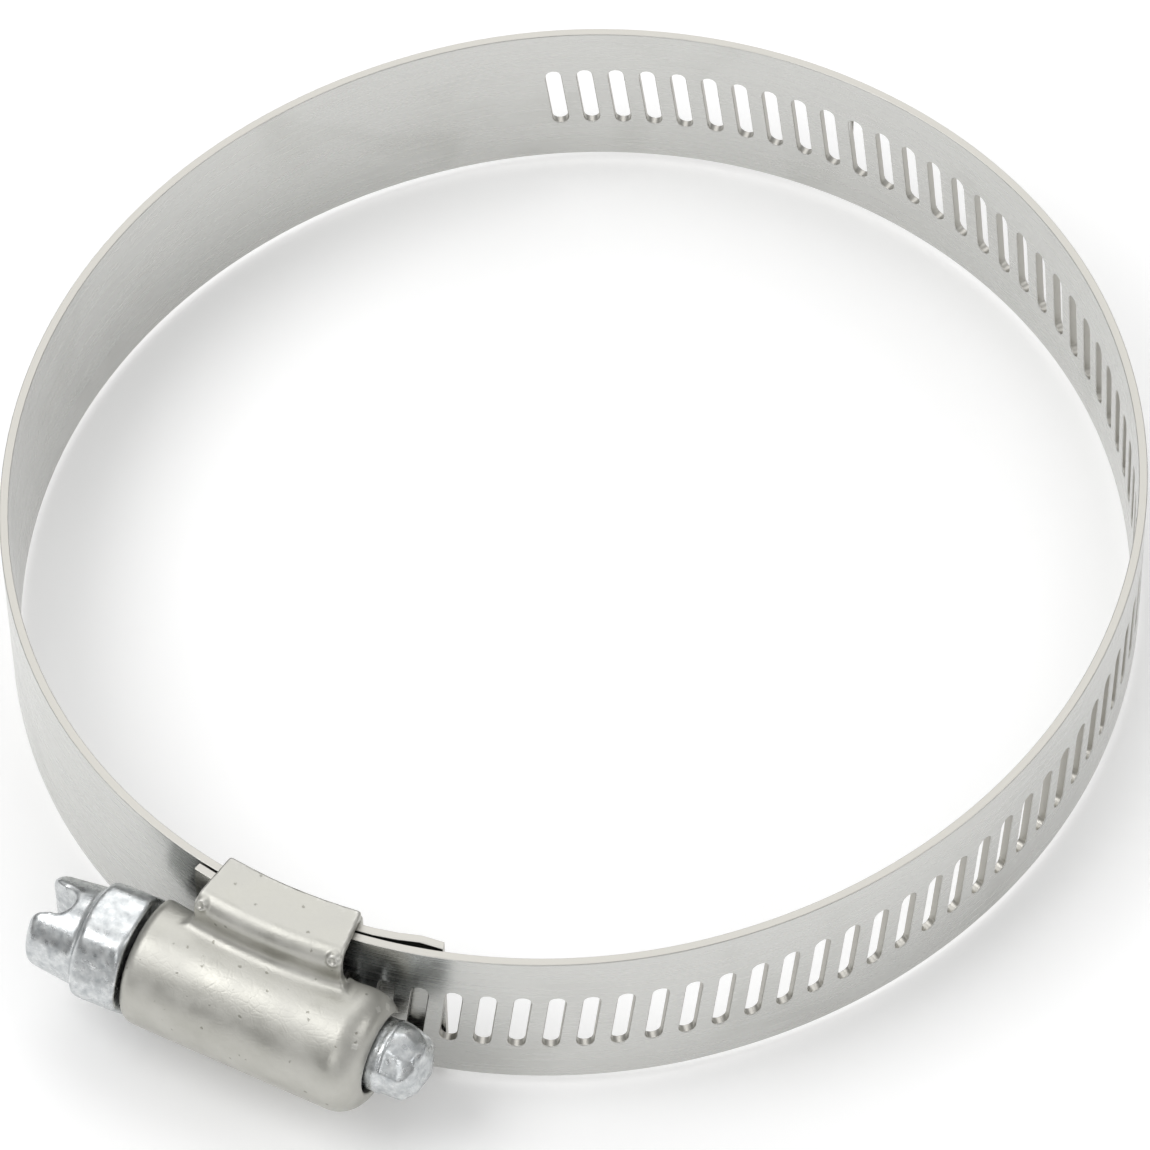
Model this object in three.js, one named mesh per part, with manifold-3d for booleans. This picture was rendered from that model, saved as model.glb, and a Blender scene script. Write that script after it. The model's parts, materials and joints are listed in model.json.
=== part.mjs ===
// Worm-drive hose clamp, open, standing on its edge. Millimetres, +Z up.
// The loop's axis is Z. The housing is on the -Y side, with the screw's head towards -X and its tip towards +X.
// The band is one strip. It is cut here into short links, so that the loop can close as the screw turns.
import * as THREE from "three";
import { mergeVertices } from "three/addons/utils/BufferGeometryUtils.js";
import Module from "manifold-3d";

const wasm = await Module();
wasm.setup();

// Band and loop
const LOOP_DIA = 76.2; // mean inside diameter of the open loop
const LOOP_OVAL = 3.8; // long inside diameter less the short one, with the long one through the housing
const BAND_W = 12.7;
const BAND_T = 0.6;
const LAYER_GAP = 0.12; // between the two layers of band inside the housing
const LINK_GAP = 0.12; // between two links at their hinge
const OPENING_GAP = 0.3; // where the loop is opened, on the side away from the housing
const SMOOTH_STEP = 3; // longest facet of the band where it has no slots

// Slots and the thread that runs in them
const PITCH = 2.215;
const SLOT_L = 5.5;
const SLOT_W = 1.1;
const SLOT_TILT = 6.5; // degrees, the thread's lead at its middle
const SLOT_DROP = 0.2; // centre of the slots below the middle of the band
const SLOTS_PER_LINK = 5;
const FIXED_SLOT_LINKS = 2; // links with slots on the fixed end's half of the loop
const FIXED_PLAIN_LINKS = 8;
const FREE_LINKS = 8;
const TAIL_PLAIN = 1.7; // plain stretch at the free end, past the last slot

// Housing
const SHEET_T = 0.7;
const EDGE_FIT = 0.15; // band edge to flange
const STRAP_HEAD = 6; // degrees from the middle of the housing to the strap's end at the screw's head
const STRAP_TIP = 9.6;
const STRAP_IN = 0.45; // strap's inner edges inside the band's inner face
const STRAP_RISE = 2.4; // strap's outer wall above the outer layer of band
const STRAP_ROLL = 1.3; // rounded front edge of the strap
const BAND_CLEAR = 1.3; // barrel's cut edges to the band's face, past the strap
const THREAD_CLEAR = 0.35; // bore to the thread's crest
const BARREL_WALL = 0.65;
const BARREL_HEAD = -7.2; // ends of the barrel along its own axis
const BARREL_TIP = 10;
const BARREL_HEAD_ROUND = 0.9;
const BARREL_TIP_ROUND = 2;
const BARREL_TILT = 1.3; // degrees, tip end towards the band
const BARREL_OUT = -0.04; // barrel's axis further out than the screw's, at the middle of the housing
const HOLE_FIT = 0.3; // hole in each end of the barrel to the neck in it

// Saddle
const SADDLE_T = 0.5;
const SADDLE_FIT = 0.15;
const LUG_W = 3;
const LUG_L = 1.6;
const LUG_FIT = 0.15;
const LUG_ANGLES = [-94, -83];

// Fixed end of the band, past the housing
const FIXED_END_HINGE = -99; // degrees, where the loop's first link begins
const TONGUE_BEND = -73.6;
const TONGUE_TIP = -71.4;
const TONGUE_BOW = 0.25;

// Screw, along its own axis: u runs from head to tip, and is 0 at the middle of the housing
const SCREW_TILT = 3.1; // degrees, tip end towards the band
const SCREW_CREST_R = 3.45;
const THREAD_DEPTH = 1;
const THREAD_CREST_W = 0.45;
const THREAD_ROOT_W = 1.05;
const THREAD_BITE = 0.38; // how far the crest goes into the slots
const THREAD_START = -5.2;
const THREAD_END = 8.2;
const THREAD_STEPS = 14; // in one turn
const COLLAR_AF = 7.94;
const COLLAR_CUT = 0.33; // taken off the hexagon's corners
const COLLAR_GAP = 0.3;
const COLLAR_L = 3.4;
const COLLAR_CORNER = 1.5; // degrees, turn of the hexagon at rest
const EAR_L = 3.8;
const EAR_ROOT_R = 3.45;
const EAR_TIP_R = 3.05;
const DRIVER_SLOT_W = 2;
const DRIVER_SLOT_D = 2.3;
const TIP_R = 2.5;
const TIP_L = 3;

const RAD = Math.PI / 180;
const UP = new THREE.Vector3(0, 0, 1);
const HALF_HEIGHT = BAND_W / 2 + EDGE_FIT + SHEET_T;
const MID_Z = HALF_HEIGHT;

// Each half of the loop is three arcs: a tight one at each end of the oval and a flatter one at its side.
const halfSpacing = LOOP_OVAL / 2 / (2 - Math.SQRT2);
const LAYER_STEP = BAND_T + LAYER_GAP;

// One half of the loop's middle line. s runs from the opening to the housing and past it, and turn is the
// way round: +1 with the angle, -1 against it.
class LoopHalf {
  constructor(endRadius, spacing, centreY, turn) {
    this.endRadius = endRadius;
    this.spacing = spacing;
    this.centreY = centreY;
    this.turn = turn;
    this.sideRadius = endRadius + spacing * Math.SQRT2;
    this.sideStart = (endRadius * Math.PI) / 4;
    this.sideEnd = this.sideStart + (this.sideRadius * Math.PI) / 2;
  }
  angleAt(s) {
    let swept = s / this.endRadius;
    if (s > this.sideStart) swept = Math.PI / 4 + (s - this.sideStart) / this.sideRadius;
    if (s > this.sideEnd) swept = (3 * Math.PI) / 4 + (s - this.sideEnd) / this.endRadius;
    return Math.PI / 2 + this.turn * swept;
  }
  lengthTo(angle) {
    const swept = this.turn * (angle - Math.PI / 2);
    if (swept <= Math.PI / 4) return swept * this.endRadius;
    if (swept <= (3 * Math.PI) / 4) return this.sideStart + (swept - Math.PI / 4) * this.sideRadius;
    return this.sideEnd + (swept - (3 * Math.PI) / 4) * this.endRadius;
  }
  // The point on the middle line at s, moved outwards by lift.
  point(s, lift = 0) {
    const angle = this.angleAt(s);
    const onSide = s > this.sideStart && s <= this.sideEnd;
    const radius = (onSide ? this.sideRadius : this.endRadius) + lift;
    const end = s <= this.sideStart ? 1 : -1;
    const centreX = onSide ? this.turn * this.spacing : 0;
    const centreY = this.centreY + (onSide ? 0 : end * this.spacing);
    return new THREE.Vector2(centreX + radius * Math.cos(angle), centreY + radius * Math.sin(angle));
  }
}

const fixedRadius = LOOP_DIA / 2 - halfSpacing / Math.SQRT2 + BAND_T / 2;
const freeRadius = fixedRadius + LAYER_STEP;
const fixedHalf = new LoopHalf(fixedRadius, halfSpacing, 0, 1);
const freeHalf = new LoopHalf(freeRadius, halfSpacing - LAYER_STEP / 2, -LAYER_STEP / 2, -1);
const archY = -halfSpacing; // centre of the arcs that pass through the housing

const rootRadius = SCREW_CREST_R - THREAD_DEPTH;
const boreRadius = SCREW_CREST_R + THREAD_CLEAR;
const collarRadius = COLLAR_AF / Math.sqrt(3) - COLLAR_CUT;

// The thread's axis stands off the band by what the thread's bite leaves of its radius.
const screwOut = (freeRadius + BAND_T / 2 + SCREW_CREST_R - THREAD_BITE) / Math.cos(SCREW_TILT * RAD);
const screwOrigin = new THREE.Vector3(0, archY - screwOut, MID_Z);

function solid(geometry) {
  geometry.deleteAttribute("normal");
  geometry.deleteAttribute("uv");
  const merged = mergeVertices(geometry, 1e-4);
  const index = merged.index.array;
  const kept = [];
  for (let i = 0; i < index.length; i += 3) {
    const [a, b, c] = index.subarray(i, i + 3);
    if (a !== b && b !== c && c !== a) kept.push(a, b, c);
  }
  const vertProperties = new Float32Array(merged.attributes.position.array);
  return new wasm.Manifold(new wasm.Mesh({ numProp: 3, vertProperties, triVerts: new Uint32Array(kept) }));
}

function geometryOf(body) {
  const mesh = body.getMesh();
  const position = new THREE.BufferAttribute(new Float32Array(mesh.vertProperties), 3);
  const geometry = new THREE.BufferGeometry().setAttribute("position", position);
  geometry.setIndex(new THREE.BufferAttribute(new Uint32Array(mesh.triVerts), 1));
  geometry.computeVertexNormals();
  return geometry;
}

function metal(color, roughness) {
  return new THREE.MeshStandardMaterial({ color, roughness, metalness: 0.95, flatShading: true });
}

const stainlessBand = () => metal(0xc9c8c2, 0.28);
const stainlessSheet = () => metal(0xc6c5be, 0.36);
const zincPlate = () => metal(0xd3d8dc, 0.33);

const clamp = new THREE.Group();

function addNode(name, body, material) {
  const mesh = new THREE.Mesh(geometryOf(body), material);
  mesh.name = name;
  clamp.add(mesh);
}

// Closed profile points, radius and height, turned about the arch's centre.
function archRing(profile, segments = 180) {
  const ring = new THREE.LatheGeometry([...profile, profile[0]], segments);
  return ring.rotateX(Math.PI / 2).translate(0, archY, MID_Z);
}

function archBand(inner, outer, halfHeight) {
  const corner = (r, h) => new THREE.Vector2(r, h);
  return archRing([
    corner(outer, -halfHeight),
    corner(outer, halfHeight),
    corner(inner, halfHeight),
    corner(inner, -halfHeight),
  ]);
}

// A wedge about the arch's centre, tall enough to cut everything there.
function archWedge(fromDeg, toDeg) {
  const reach = 2 * LOOP_DIA;
  const side = (deg) => new THREE.Vector2(reach * Math.cos(deg * RAD), reach * Math.sin(deg * RAD));
  const shape = new THREE.Shape([new THREE.Vector2(), side(fromDeg), side(toDeg)]);
  const depth = 4 * HALF_HEIGHT;
  const wedge = new THREE.ExtrudeGeometry(shape, { depth, bevelEnabled: false });
  return solid(wedge.translate(0, archY, MID_Z - depth / 2));
}

// A strip of band whose middle line is lifted by lift(s) at each of the places s.
function strip(half, places, lift = () => 0) {
  const side = (offset) => places.map((s) => half.point(s, lift(s) + offset));
  const outline = new THREE.Shape([...side(BAND_T / 2), ...side(-BAND_T / 2).reverse()]);
  const body = new THREE.ExtrudeGeometry(outline, { depth: BAND_W, bevelEnabled: false });
  return solid(body.translate(0, 0, MID_Z - BAND_W / 2));
}

function evenPlaces(from, to) {
  const steps = Math.ceil((to - from) / SMOOTH_STEP);
  return Array.from({ length: steps + 1 }, (_, i) => from + ((to - from) * i) / steps);
}

// A cut through the band at s, along by across in size, leaning by tilt degrees.
function cutter(half, s, shape, lean) {
  const angle = half.angleAt(s);
  const out = new THREE.Vector3(Math.cos(angle), Math.sin(angle), 0);
  const along = new THREE.Vector3(-Math.sin(angle), Math.cos(angle), 0);
  const depth = 4 * BAND_T;
  const cut = new THREE.ExtrudeGeometry(shape, { depth, bevelEnabled: false, curveSegments: 3 });
  cut.rotateZ(-lean * RAD).translate(0, 0, -depth / 2);
  cut.applyMatrix4(new THREE.Matrix4().makeBasis(along, UP, out));
  return cut.translate(half.point(s).x, half.point(s).y, MID_Z);
}

function slotShape() {
  const shape = new THREE.Shape();
  const straight = (SLOT_L - SLOT_W) / 2;
  shape.absarc(0, straight, SLOT_W / 2, 0, Math.PI, false);
  shape.absarc(0, -straight, SLOT_W / 2, Math.PI, 2 * Math.PI, false);
  shape.closePath();
  return shape;
}

function slotPlace(index) {
  return (index + 0.5) * PITCH;
}

// A strip from s = from to s = to with the slots numbered first to last, faceted between the slots.
function slottedStrip(half, from, to, first, last) {
  const places = [from];
  for (let i = first; i <= last + 1; i++) {
    const web = i * PITCH;
    if (web > from + LINK_GAP && web < to - LINK_GAP) places.push(web);
  }
  places.push(...evenPlaces(places.at(-1), to).slice(1));
  let body = strip(half, places);
  for (let i = first; i <= last; i++) {
    const cut = cutter(half, slotPlace(i), slotShape(), SLOT_TILT);
    body = body.subtract(solid(cut.translate(0, 0, -SLOT_DROP)));
  }
  return body;
}

const slottedLength = SLOTS_PER_LINK * PITCH;
const fixedHingeS = fixedHalf.lengthTo((360 + FIXED_END_HINGE) * RAD);
const plainStart = FIXED_SLOT_LINKS * slottedLength;
const plainLength = (fixedHingeS - plainStart) / FIXED_PLAIN_LINKS;

// The half of the loop that belongs to the fixed end, numbered from the opening.
function addFixedLinks() {
  for (let n = 0; n < FIXED_SLOT_LINKS + FIXED_PLAIN_LINKS; n++) {
    const slotted = n < FIXED_SLOT_LINKS;
    const start = slotted ? n * slottedLength : plainStart + (n - FIXED_SLOT_LINKS) * plainLength;
    const from = start + (n ? LINK_GAP : OPENING_GAP) / 2;
    const to = start + (slotted ? slottedLength : plainLength) - LINK_GAP / 2;
    const first = n * SLOTS_PER_LINK;
    const body = slotted
      ? slottedStrip(fixedHalf, from, to, first, first + SLOTS_PER_LINK - 1)
      : strip(fixedHalf, evenPlaces(from, to));
    addNode("fixed_link_" + String(n + 1).padStart(2, "0"), body, stainlessBand());
  }
}

// The half of the loop that the screw draws in, numbered from the opening.
function addFreeLinks() {
  for (let n = 0; n < FREE_LINKS; n++) {
    const from = n * slottedLength + (n ? LINK_GAP : OPENING_GAP) / 2;
    const to = (n + 1) * slottedLength - LINK_GAP / 2;
    const first = n * SLOTS_PER_LINK;
    const body = slottedStrip(freeHalf, from, to, first, first + SLOTS_PER_LINK - 1);
    addNode("free_link_" + String(n + 1).padStart(2, "0"), body, stainlessBand());
  }
}

// The free end of the band, which the thread holds.
function addFreeEnd() {
  const first = FREE_LINKS * SLOTS_PER_LINK;
  const from = FREE_LINKS * slottedLength + LINK_GAP / 2;
  const mouth = freeHalf.lengthTo((FIXED_END_HINGE + 0.4) * RAD);
  const last = Math.floor((mouth - TAIL_PLAIN) / PITCH - 0.5);
  addNode("band_free_end", slottedStrip(freeHalf, from, mouth, first, last), stainlessBand());
}

function lugShape(margin) {
  const half = new THREE.Vector2(LUG_L / 2 + margin, LUG_W / 2 + margin);
  return new THREE.Shape([
    new THREE.Vector2(-half.x, -half.y),
    new THREE.Vector2(half.x, -half.y),
    new THREE.Vector2(half.x, half.y),
    new THREE.Vector2(-half.x, half.y),
  ]);
}

// The fixed end of the band: it is held in the housing under the free end, and its tongue sticks out.
function addFixedEnd() {
  const placeOf = (deg) => fixedHalf.lengthTo((360 + deg) * RAD);
  const from = fixedHingeS + LINK_GAP / 2;
  const mouth = placeOf(STRAP_TIP - 90);
  const bend = placeOf(TONGUE_BEND);
  const tip = placeOf(TONGUE_TIP);
  const lift = (s) => {
    if (s <= mouth) return 0;
    if (s <= bend) return -TONGUE_BOW * ((s - mouth) / (bend - mouth)) ** 2;
    return -TONGUE_BOW * (1 - (s - bend) / (tip - bend));
  };
  const places = [...evenPlaces(from, mouth), ...evenPlaces(mouth, bend).slice(1), tip];
  let body = strip(fixedHalf, places, lift);
  for (const deg of LUG_ANGLES) {
    const window = cutter(fixedHalf, placeOf(deg), lugShape(LUG_FIT), 0);
    body = body.subtract(solid(window));
  }
  addNode("band_fixed_end", body, stainlessBand());
}

const saddleOuter = fixedRadius - BAND_T / 2 - SADDLE_FIT;
const saddleInner = saddleOuter - SADDLE_T;

function arcDegrees(length, radius) {
  return length / radius / RAD;
}

// The saddle closes the housing under the band, and its lugs stand in the fixed end's windows.
function addSaddle() {
  const plate = solid(archBand(saddleInner, saddleOuter, BAND_W / 2));
  let body = plate.intersect(archWedge(-90 - STRAP_HEAD, STRAP_TIP - 90));
  for (const deg of LUG_ANGLES) {
    const lug = new THREE.ExtrudeGeometry(lugShape(0), {
      depth: SADDLE_FIT + BAND_T + SADDLE_T / 2 - LAYER_GAP,
      bevelEnabled: false,
    });
    const angle = deg * RAD;
    const out = new THREE.Vector3(Math.cos(angle), Math.sin(angle), 0);
    const along = new THREE.Vector3(-Math.sin(angle), Math.cos(angle), 0);
    lug.applyMatrix4(new THREE.Matrix4().makeBasis(along, UP, out));
    const root = out.multiplyScalar(saddleOuter - SADDLE_T / 2);
    body = body.add(solid(lug.translate(root.x, archY + root.y, MID_Z)));
  }
  addNode("saddle", body, stainlessSheet());
}

// Points of a quarter circle about a centre, from one angle in degrees to another.
function roundCorner(x, y, radius, fromDeg, toDeg, steps = 5) {
  return Array.from({ length: steps + 1 }, (_, i) => {
    const angle = (fromDeg + ((toDeg - fromDeg) * i) / steps) * RAD;
    return new THREE.Vector2(x + radius * Math.cos(angle), y + radius * Math.sin(angle));
  });
}

function strapProfile(inner, outer, halfHeight, roll) {
  return [
    ...roundCorner(outer - roll, roll - halfHeight, roll, -90, 0),
    ...roundCorner(outer - roll, halfHeight - roll, roll, 0, 90),
    new THREE.Vector2(inner, halfHeight),
    new THREE.Vector2(inner, -halfHeight),
  ];
}

// A solid turned about the X axis. The profile's points are radius and place along the axis, low to high.
// Its facets stand half a facet off those of the thread.
function turned(profile, segments = 2 * THREAD_STEPS) {
  const start = Math.PI / segments - Math.PI / 2;
  return new THREE.LatheGeometry(profile, segments, start).rotateZ(-Math.PI / 2);
}

function axisPoint(u) {
  return new THREE.Vector2(0, u);
}

// A closed drum with rounded ends between two places on the axis.
function drum(radius, from, to, fromRound, toRound) {
  return turned([
    axisPoint(from),
    ...roundCorner(radius - fromRound, from + fromRound, fromRound, -90, 0),
    ...roundCorner(radius - toRound, to - toRound, toRound, 0, 90),
    axisPoint(to),
  ]);
}

function toScrewFrame(geometry) {
  return geometry.rotateZ(SCREW_TILT * RAD).translate(screwOrigin.x, screwOrigin.y, screwOrigin.z);
}

function toBarrelFrame(geometry) {
  return geometry.rotateZ(BARREL_TILT * RAD).translate(0, screwOrigin.y - BARREL_OUT, MID_Z);
}

// The housing is one formed sheet: a barrel over the screw, and a strap round the edges of the band.
function addHousing() {
  const strapOuter = freeRadius + BAND_T / 2 + STRAP_RISE;
  const head = -90 - STRAP_HEAD;
  const tip = -90 + STRAP_TIP;
  const strapInner = fixedRadius - BAND_T / 2 - STRAP_IN;
  const outside = strapProfile(strapInner, strapOuter, HALF_HEIGHT, STRAP_ROLL);
  const inside = strapProfile(
    strapInner - SHEET_T,
    strapOuter - SHEET_T,
    HALF_HEIGHT - SHEET_T,
    STRAP_ROLL - SHEET_T,
  );
  const shell = boreRadius + BARREL_WALL;
  const strap = solid(archRing(outside)).intersect(archWedge(head, tip));
  const barrel = drum(shell, BARREL_HEAD, BARREL_TIP, BARREL_HEAD_ROUND, BARREL_TIP_ROUND);
  const bore = drum(
    boreRadius,
    BARREL_HEAD + BARREL_WALL,
    BARREL_TIP - BARREL_WALL,
    BARREL_HEAD_ROUND - BARREL_WALL,
    BARREL_TIP_ROUND - BARREL_WALL,
  );
  const past = arcDegrees(EDGE_FIT, strapOuter);
  const cavity = solid(archRing(inside)).intersect(archWedge(head - past, tip + past));
  const bandWay = archBand(LOOP_DIA / 4, freeRadius + BAND_T / 2 + BAND_CLEAR, HALF_HEIGHT - SHEET_T);
  const headHole = drum(rootRadius + HOLE_FIT, 2 * BARREL_HEAD, 0, HOLE_FIT, HOLE_FIT);
  const tipHole = drum(rootRadius + HOLE_FIT, 0, 2 * BARREL_TIP, HOLE_FIT, HOLE_FIT);
  const body = strap
    .add(solid(toBarrelFrame(barrel)))
    .subtract(solid(toBarrelFrame(bore)))
    .subtract(cavity)
    .subtract(solid(bandWay))
    .subtract(solid(toScrewFrame(headHole)))
    .subtract(solid(toScrewFrame(tipHole)));
  addNode("housing", body, stainlessSheet());
}

// A right-hand helix about the X axis, from one turn to another, that faces the band where it passes phase.
// Its frames keep the thread's section in line with the axis.
class Helix extends THREE.Curve {
  constructor(radius, phase, fromTurn, toTurn) {
    super();
    Object.assign(this, { radius, phase, fromTurn, toTurn });
  }
  angleAt(t) {
    return 2 * Math.PI * (this.fromTurn + (this.toTurn - this.fromTurn) * t);
  }
  getPoint(t, target = new THREE.Vector3()) {
    const angle = this.angleAt(t);
    const place = this.phase + (PITCH * angle) / (2 * Math.PI);
    return target.set(place, this.radius * Math.cos(angle), this.radius * Math.sin(angle));
  }
  computeFrenetFrames(segments) {
    const frames = { tangents: [], normals: [], binormals: [] };
    for (let i = 0; i <= segments; i++) {
      const angle = this.angleAt(i / segments);
      frames.tangents.push(new THREE.Vector3(0, -Math.sin(angle), Math.cos(angle)));
      frames.normals.push(new THREE.Vector3(0, Math.cos(angle), Math.sin(angle)));
      frames.binormals.push(new THREE.Vector3(1, 0, 0));
    }
    return frames;
  }
}

// Where the thread must stand on the band's side of the axis for its ridges to lie in the slots.
function threadPhase() {
  const mesh = freeHalf.lengthTo((SCREW_TILT - 90) * RAD);
  const slot = slotPlace(Math.round(mesh / PITCH - 0.5));
  const at = freeHalf.point(slot);
  const axis = new THREE.Vector2(Math.cos(SCREW_TILT * RAD), Math.sin(SCREW_TILT * RAD));
  const place = new THREE.Vector2(at.x - screwOrigin.x, at.y - screwOrigin.y).dot(axis);
  return place + SLOT_DROP * Math.tan(SLOT_TILT * RAD);
}

function threadRidge() {
  const root = -1.15 * THREAD_DEPTH;
  const section = new THREE.Shape([
    new THREE.Vector2(root, -THREAD_ROOT_W / 2),
    new THREE.Vector2(0, -THREAD_CREST_W / 2),
    new THREE.Vector2(0, THREAD_CREST_W / 2),
    new THREE.Vector2(root, THREAD_ROOT_W / 2),
  ]);
  const phase = threadPhase();
  const first = Math.ceil((THREAD_STEPS * (THREAD_START - phase)) / PITCH);
  const last = Math.floor((THREAD_STEPS * (THREAD_END - phase)) / PITCH);
  const path = new Helix(SCREW_CREST_R, phase, first / THREAD_STEPS, last / THREAD_STEPS);
  return new THREE.ExtrudeGeometry(section, { extrudePath: path, steps: last - first, bevelEnabled: false });
}

function hexCollar(from, to) {
  const corner = COLLAR_AF / Math.sqrt(3);
  const outline = Array.from({ length: 6 }, (_, i) => {
    const angle = (COLLAR_CORNER + 60 * i) * RAD;
    return new THREE.Vector2(corner * Math.cos(angle), corner * Math.sin(angle));
  });
  const hex = new THREE.ExtrudeGeometry(new THREE.Shape(outline), { depth: to - from, bevelEnabled: false });
  const alongX = new THREE.Matrix4().makeBasis(
    new THREE.Vector3(0, 1, 0),
    new THREE.Vector3(0, 0, 1),
    new THREE.Vector3(1, 0, 0),
  );
  hex.applyMatrix4(alongX).translate(from, 0, 0);
  const round = drum(collarRadius, from, to, collarRadius - EAR_ROOT_R, HOLE_FIT);
  return solid(hex).intersect(solid(round));
}

// The two ears of the driving end, with the wide slot between them.
function driverEars(from, to) {
  const round = 0.9;
  const cone = turned([
    axisPoint(from),
    ...roundCorner(EAR_TIP_R - round, from + round, round, -90, 0),
    new THREE.Vector2(EAR_ROOT_R, to),
    axisPoint(to),
  ]);
  const slot = new THREE.BoxGeometry(2 * DRIVER_SLOT_D, DRIVER_SLOT_W, 4 * EAR_ROOT_R);
  slot.translate(from, 0, 0);
  return solid(cone).subtract(solid(slot));
}

function addScrew() {
  const collarTo = BARREL_HEAD - COLLAR_GAP;
  const collarFrom = collarTo - COLLAR_L;
  const tipFrom = BARREL_TIP + COLLAR_GAP;
  const shank = turned(
    [
      axisPoint(collarTo - 1),
      new THREE.Vector2(rootRadius, collarTo - 1),
      new THREE.Vector2(rootRadius, tipFrom - 0.1),
      new THREE.Vector2(TIP_R, tipFrom),
      new THREE.Vector2(TIP_R, tipFrom + TIP_L * 0.35),
      new THREE.Vector2(TIP_R * 0.86, tipFrom + TIP_L * 0.68),
      new THREE.Vector2(TIP_R * 0.5, tipFrom + TIP_L * 0.94),
      axisPoint(tipFrom + TIP_L),
    ],
    THREAD_STEPS,
  );
  const body = solid(shank)
    .add(solid(threadRidge()))
    .add(hexCollar(collarFrom, collarTo))
    .add(driverEars(collarFrom - EAR_L, collarFrom + 0.5));
  const screw = new THREE.Mesh(geometryOf(body), zincPlate());
  screw.name = "screw";
  screw.position.copy(screwOrigin);
  screw.rotation.z = SCREW_TILT * RAD;
  clamp.add(screw);
}

addHousing();
addSaddle();
addFixedEnd();
addFixedLinks();
addFreeEnd();
addFreeLinks();
addScrew();

// The origin is under the middle of the clamp's box.
const middle = new THREE.Box3().setFromObject(clamp, true).getCenter(new THREE.Vector3());
clamp.position.set(-middle.x, -middle.y, 0);

const model = new THREE.Group();
model.add(clamp);

export default model;
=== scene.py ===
"""Looks of a worm-drive hose clamp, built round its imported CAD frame.

Sizes are in millimetres and are turned to metres where a mesh is made.
The loop's axis is Z, the housing is on the -Y side, and the screw's head points towards -X.
"""

import json
import logging
import math
from collections.abc import Callable, Sequence
from dataclasses import dataclass, field
from enum import Enum

import bpy
import numpy as np
from mathutils import Matrix, Vector


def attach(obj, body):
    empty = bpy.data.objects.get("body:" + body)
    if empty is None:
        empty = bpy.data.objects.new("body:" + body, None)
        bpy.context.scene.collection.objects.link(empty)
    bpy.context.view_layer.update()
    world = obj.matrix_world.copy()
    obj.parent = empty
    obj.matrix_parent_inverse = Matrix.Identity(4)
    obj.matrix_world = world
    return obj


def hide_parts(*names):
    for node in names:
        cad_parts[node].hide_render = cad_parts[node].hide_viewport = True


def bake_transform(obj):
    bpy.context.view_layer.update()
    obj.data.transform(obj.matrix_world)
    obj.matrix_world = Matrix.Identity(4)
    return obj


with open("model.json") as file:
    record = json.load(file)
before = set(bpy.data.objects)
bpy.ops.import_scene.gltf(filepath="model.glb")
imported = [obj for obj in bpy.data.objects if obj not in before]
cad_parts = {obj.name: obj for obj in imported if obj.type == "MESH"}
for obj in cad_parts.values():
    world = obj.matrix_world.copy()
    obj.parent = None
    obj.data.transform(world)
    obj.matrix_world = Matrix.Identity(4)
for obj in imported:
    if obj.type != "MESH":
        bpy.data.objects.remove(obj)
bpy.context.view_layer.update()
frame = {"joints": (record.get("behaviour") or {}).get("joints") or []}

MM = 0.001
LOG = logging.getLogger("hose_clamp")

Array = np.ndarray
Field = Callable[[Array], Array]
Colour = tuple[float, float, float, float]

# Sockets of a Mix node that mixes colours.
FACTOR, FIRST, SECOND, MIXED = 0, 6, 7, 2
# Nearly all of a noise pattern's values lie between these two.
NOISE_RANGE = {"From Min": 0.3, "From Max": 0.7}


def linear(hex_colour: str) -> Colour:
    """Turns an sRGB hex colour into the linear one that shaders use.

    Args:
        hex_colour: Six hex digits after a hash.

    Returns:
        Red, green and blue in linear light, and an alpha of 1.
    """
    parts = [int(hex_colour[i : i + 2], 16) / 255 for i in (1, 3, 5)]
    made = [c / 12.92 if c <= 0.04045 else ((c + 0.055) / 1.055) ** 2.4 for c in parts]
    return (made[0], made[1], made[2], 1.0)


def add_node(
    tree: bpy.types.NodeTree,
    kind: str,
    settings: dict[str | int, object] | None = None,
    links: dict[str | int, bpy.types.NodeSocket] | None = None,
) -> bpy.types.Node:
    """Adds one node with its settings and the links into it.

    Args:
        tree: The tree that gets the node.
        kind: The node's type, such as ShaderNodeTexNoise.
        settings: Properties of the node by name, or values of its sockets by name or number.
        links: Output sockets by the name or number of the input that each one feeds.

    Returns:
        The new node.
    """
    node = tree.nodes.new(kind)
    for key, value in (settings or {}).items():
        if isinstance(key, str) and hasattr(node, key):
            setattr(node, key, value)
        else:
            node.inputs[key].default_value = value
    for key, output in (links or {}).items():
        tree.links.new(output, node.inputs[key])
    return node


def set_ramp(node: bpy.types.Node, stops: Sequence[tuple[float, Colour]]) -> None:
    """Gives a colour ramp its stops.

    Args:
        node: A colour ramp node.
        stops: Place and colour of each stop, from low to high.
    """
    ramp = node.color_ramp
    while len(ramp.elements) > 1:
        ramp.elements.remove(ramp.elements[-1])
    ramp.elements[0].position, ramp.elements[0].color = stops[0]
    for place, colour in stops[1:]:
        ramp.elements.new(place).color = colour


class Body(Enum):
    """The CAD bodies that pieces ride on by name."""

    HOUSING = "housing"
    SCREW = "screw"
    FREE_END = "free_end"


class Slot(Enum):
    """The record's material slots."""

    STRIP = "band_strip"
    SHEET = "formed_sheet"
    ZINC = "zinc_plate"


# ---------------------------------------------------------------- finishes


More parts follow.
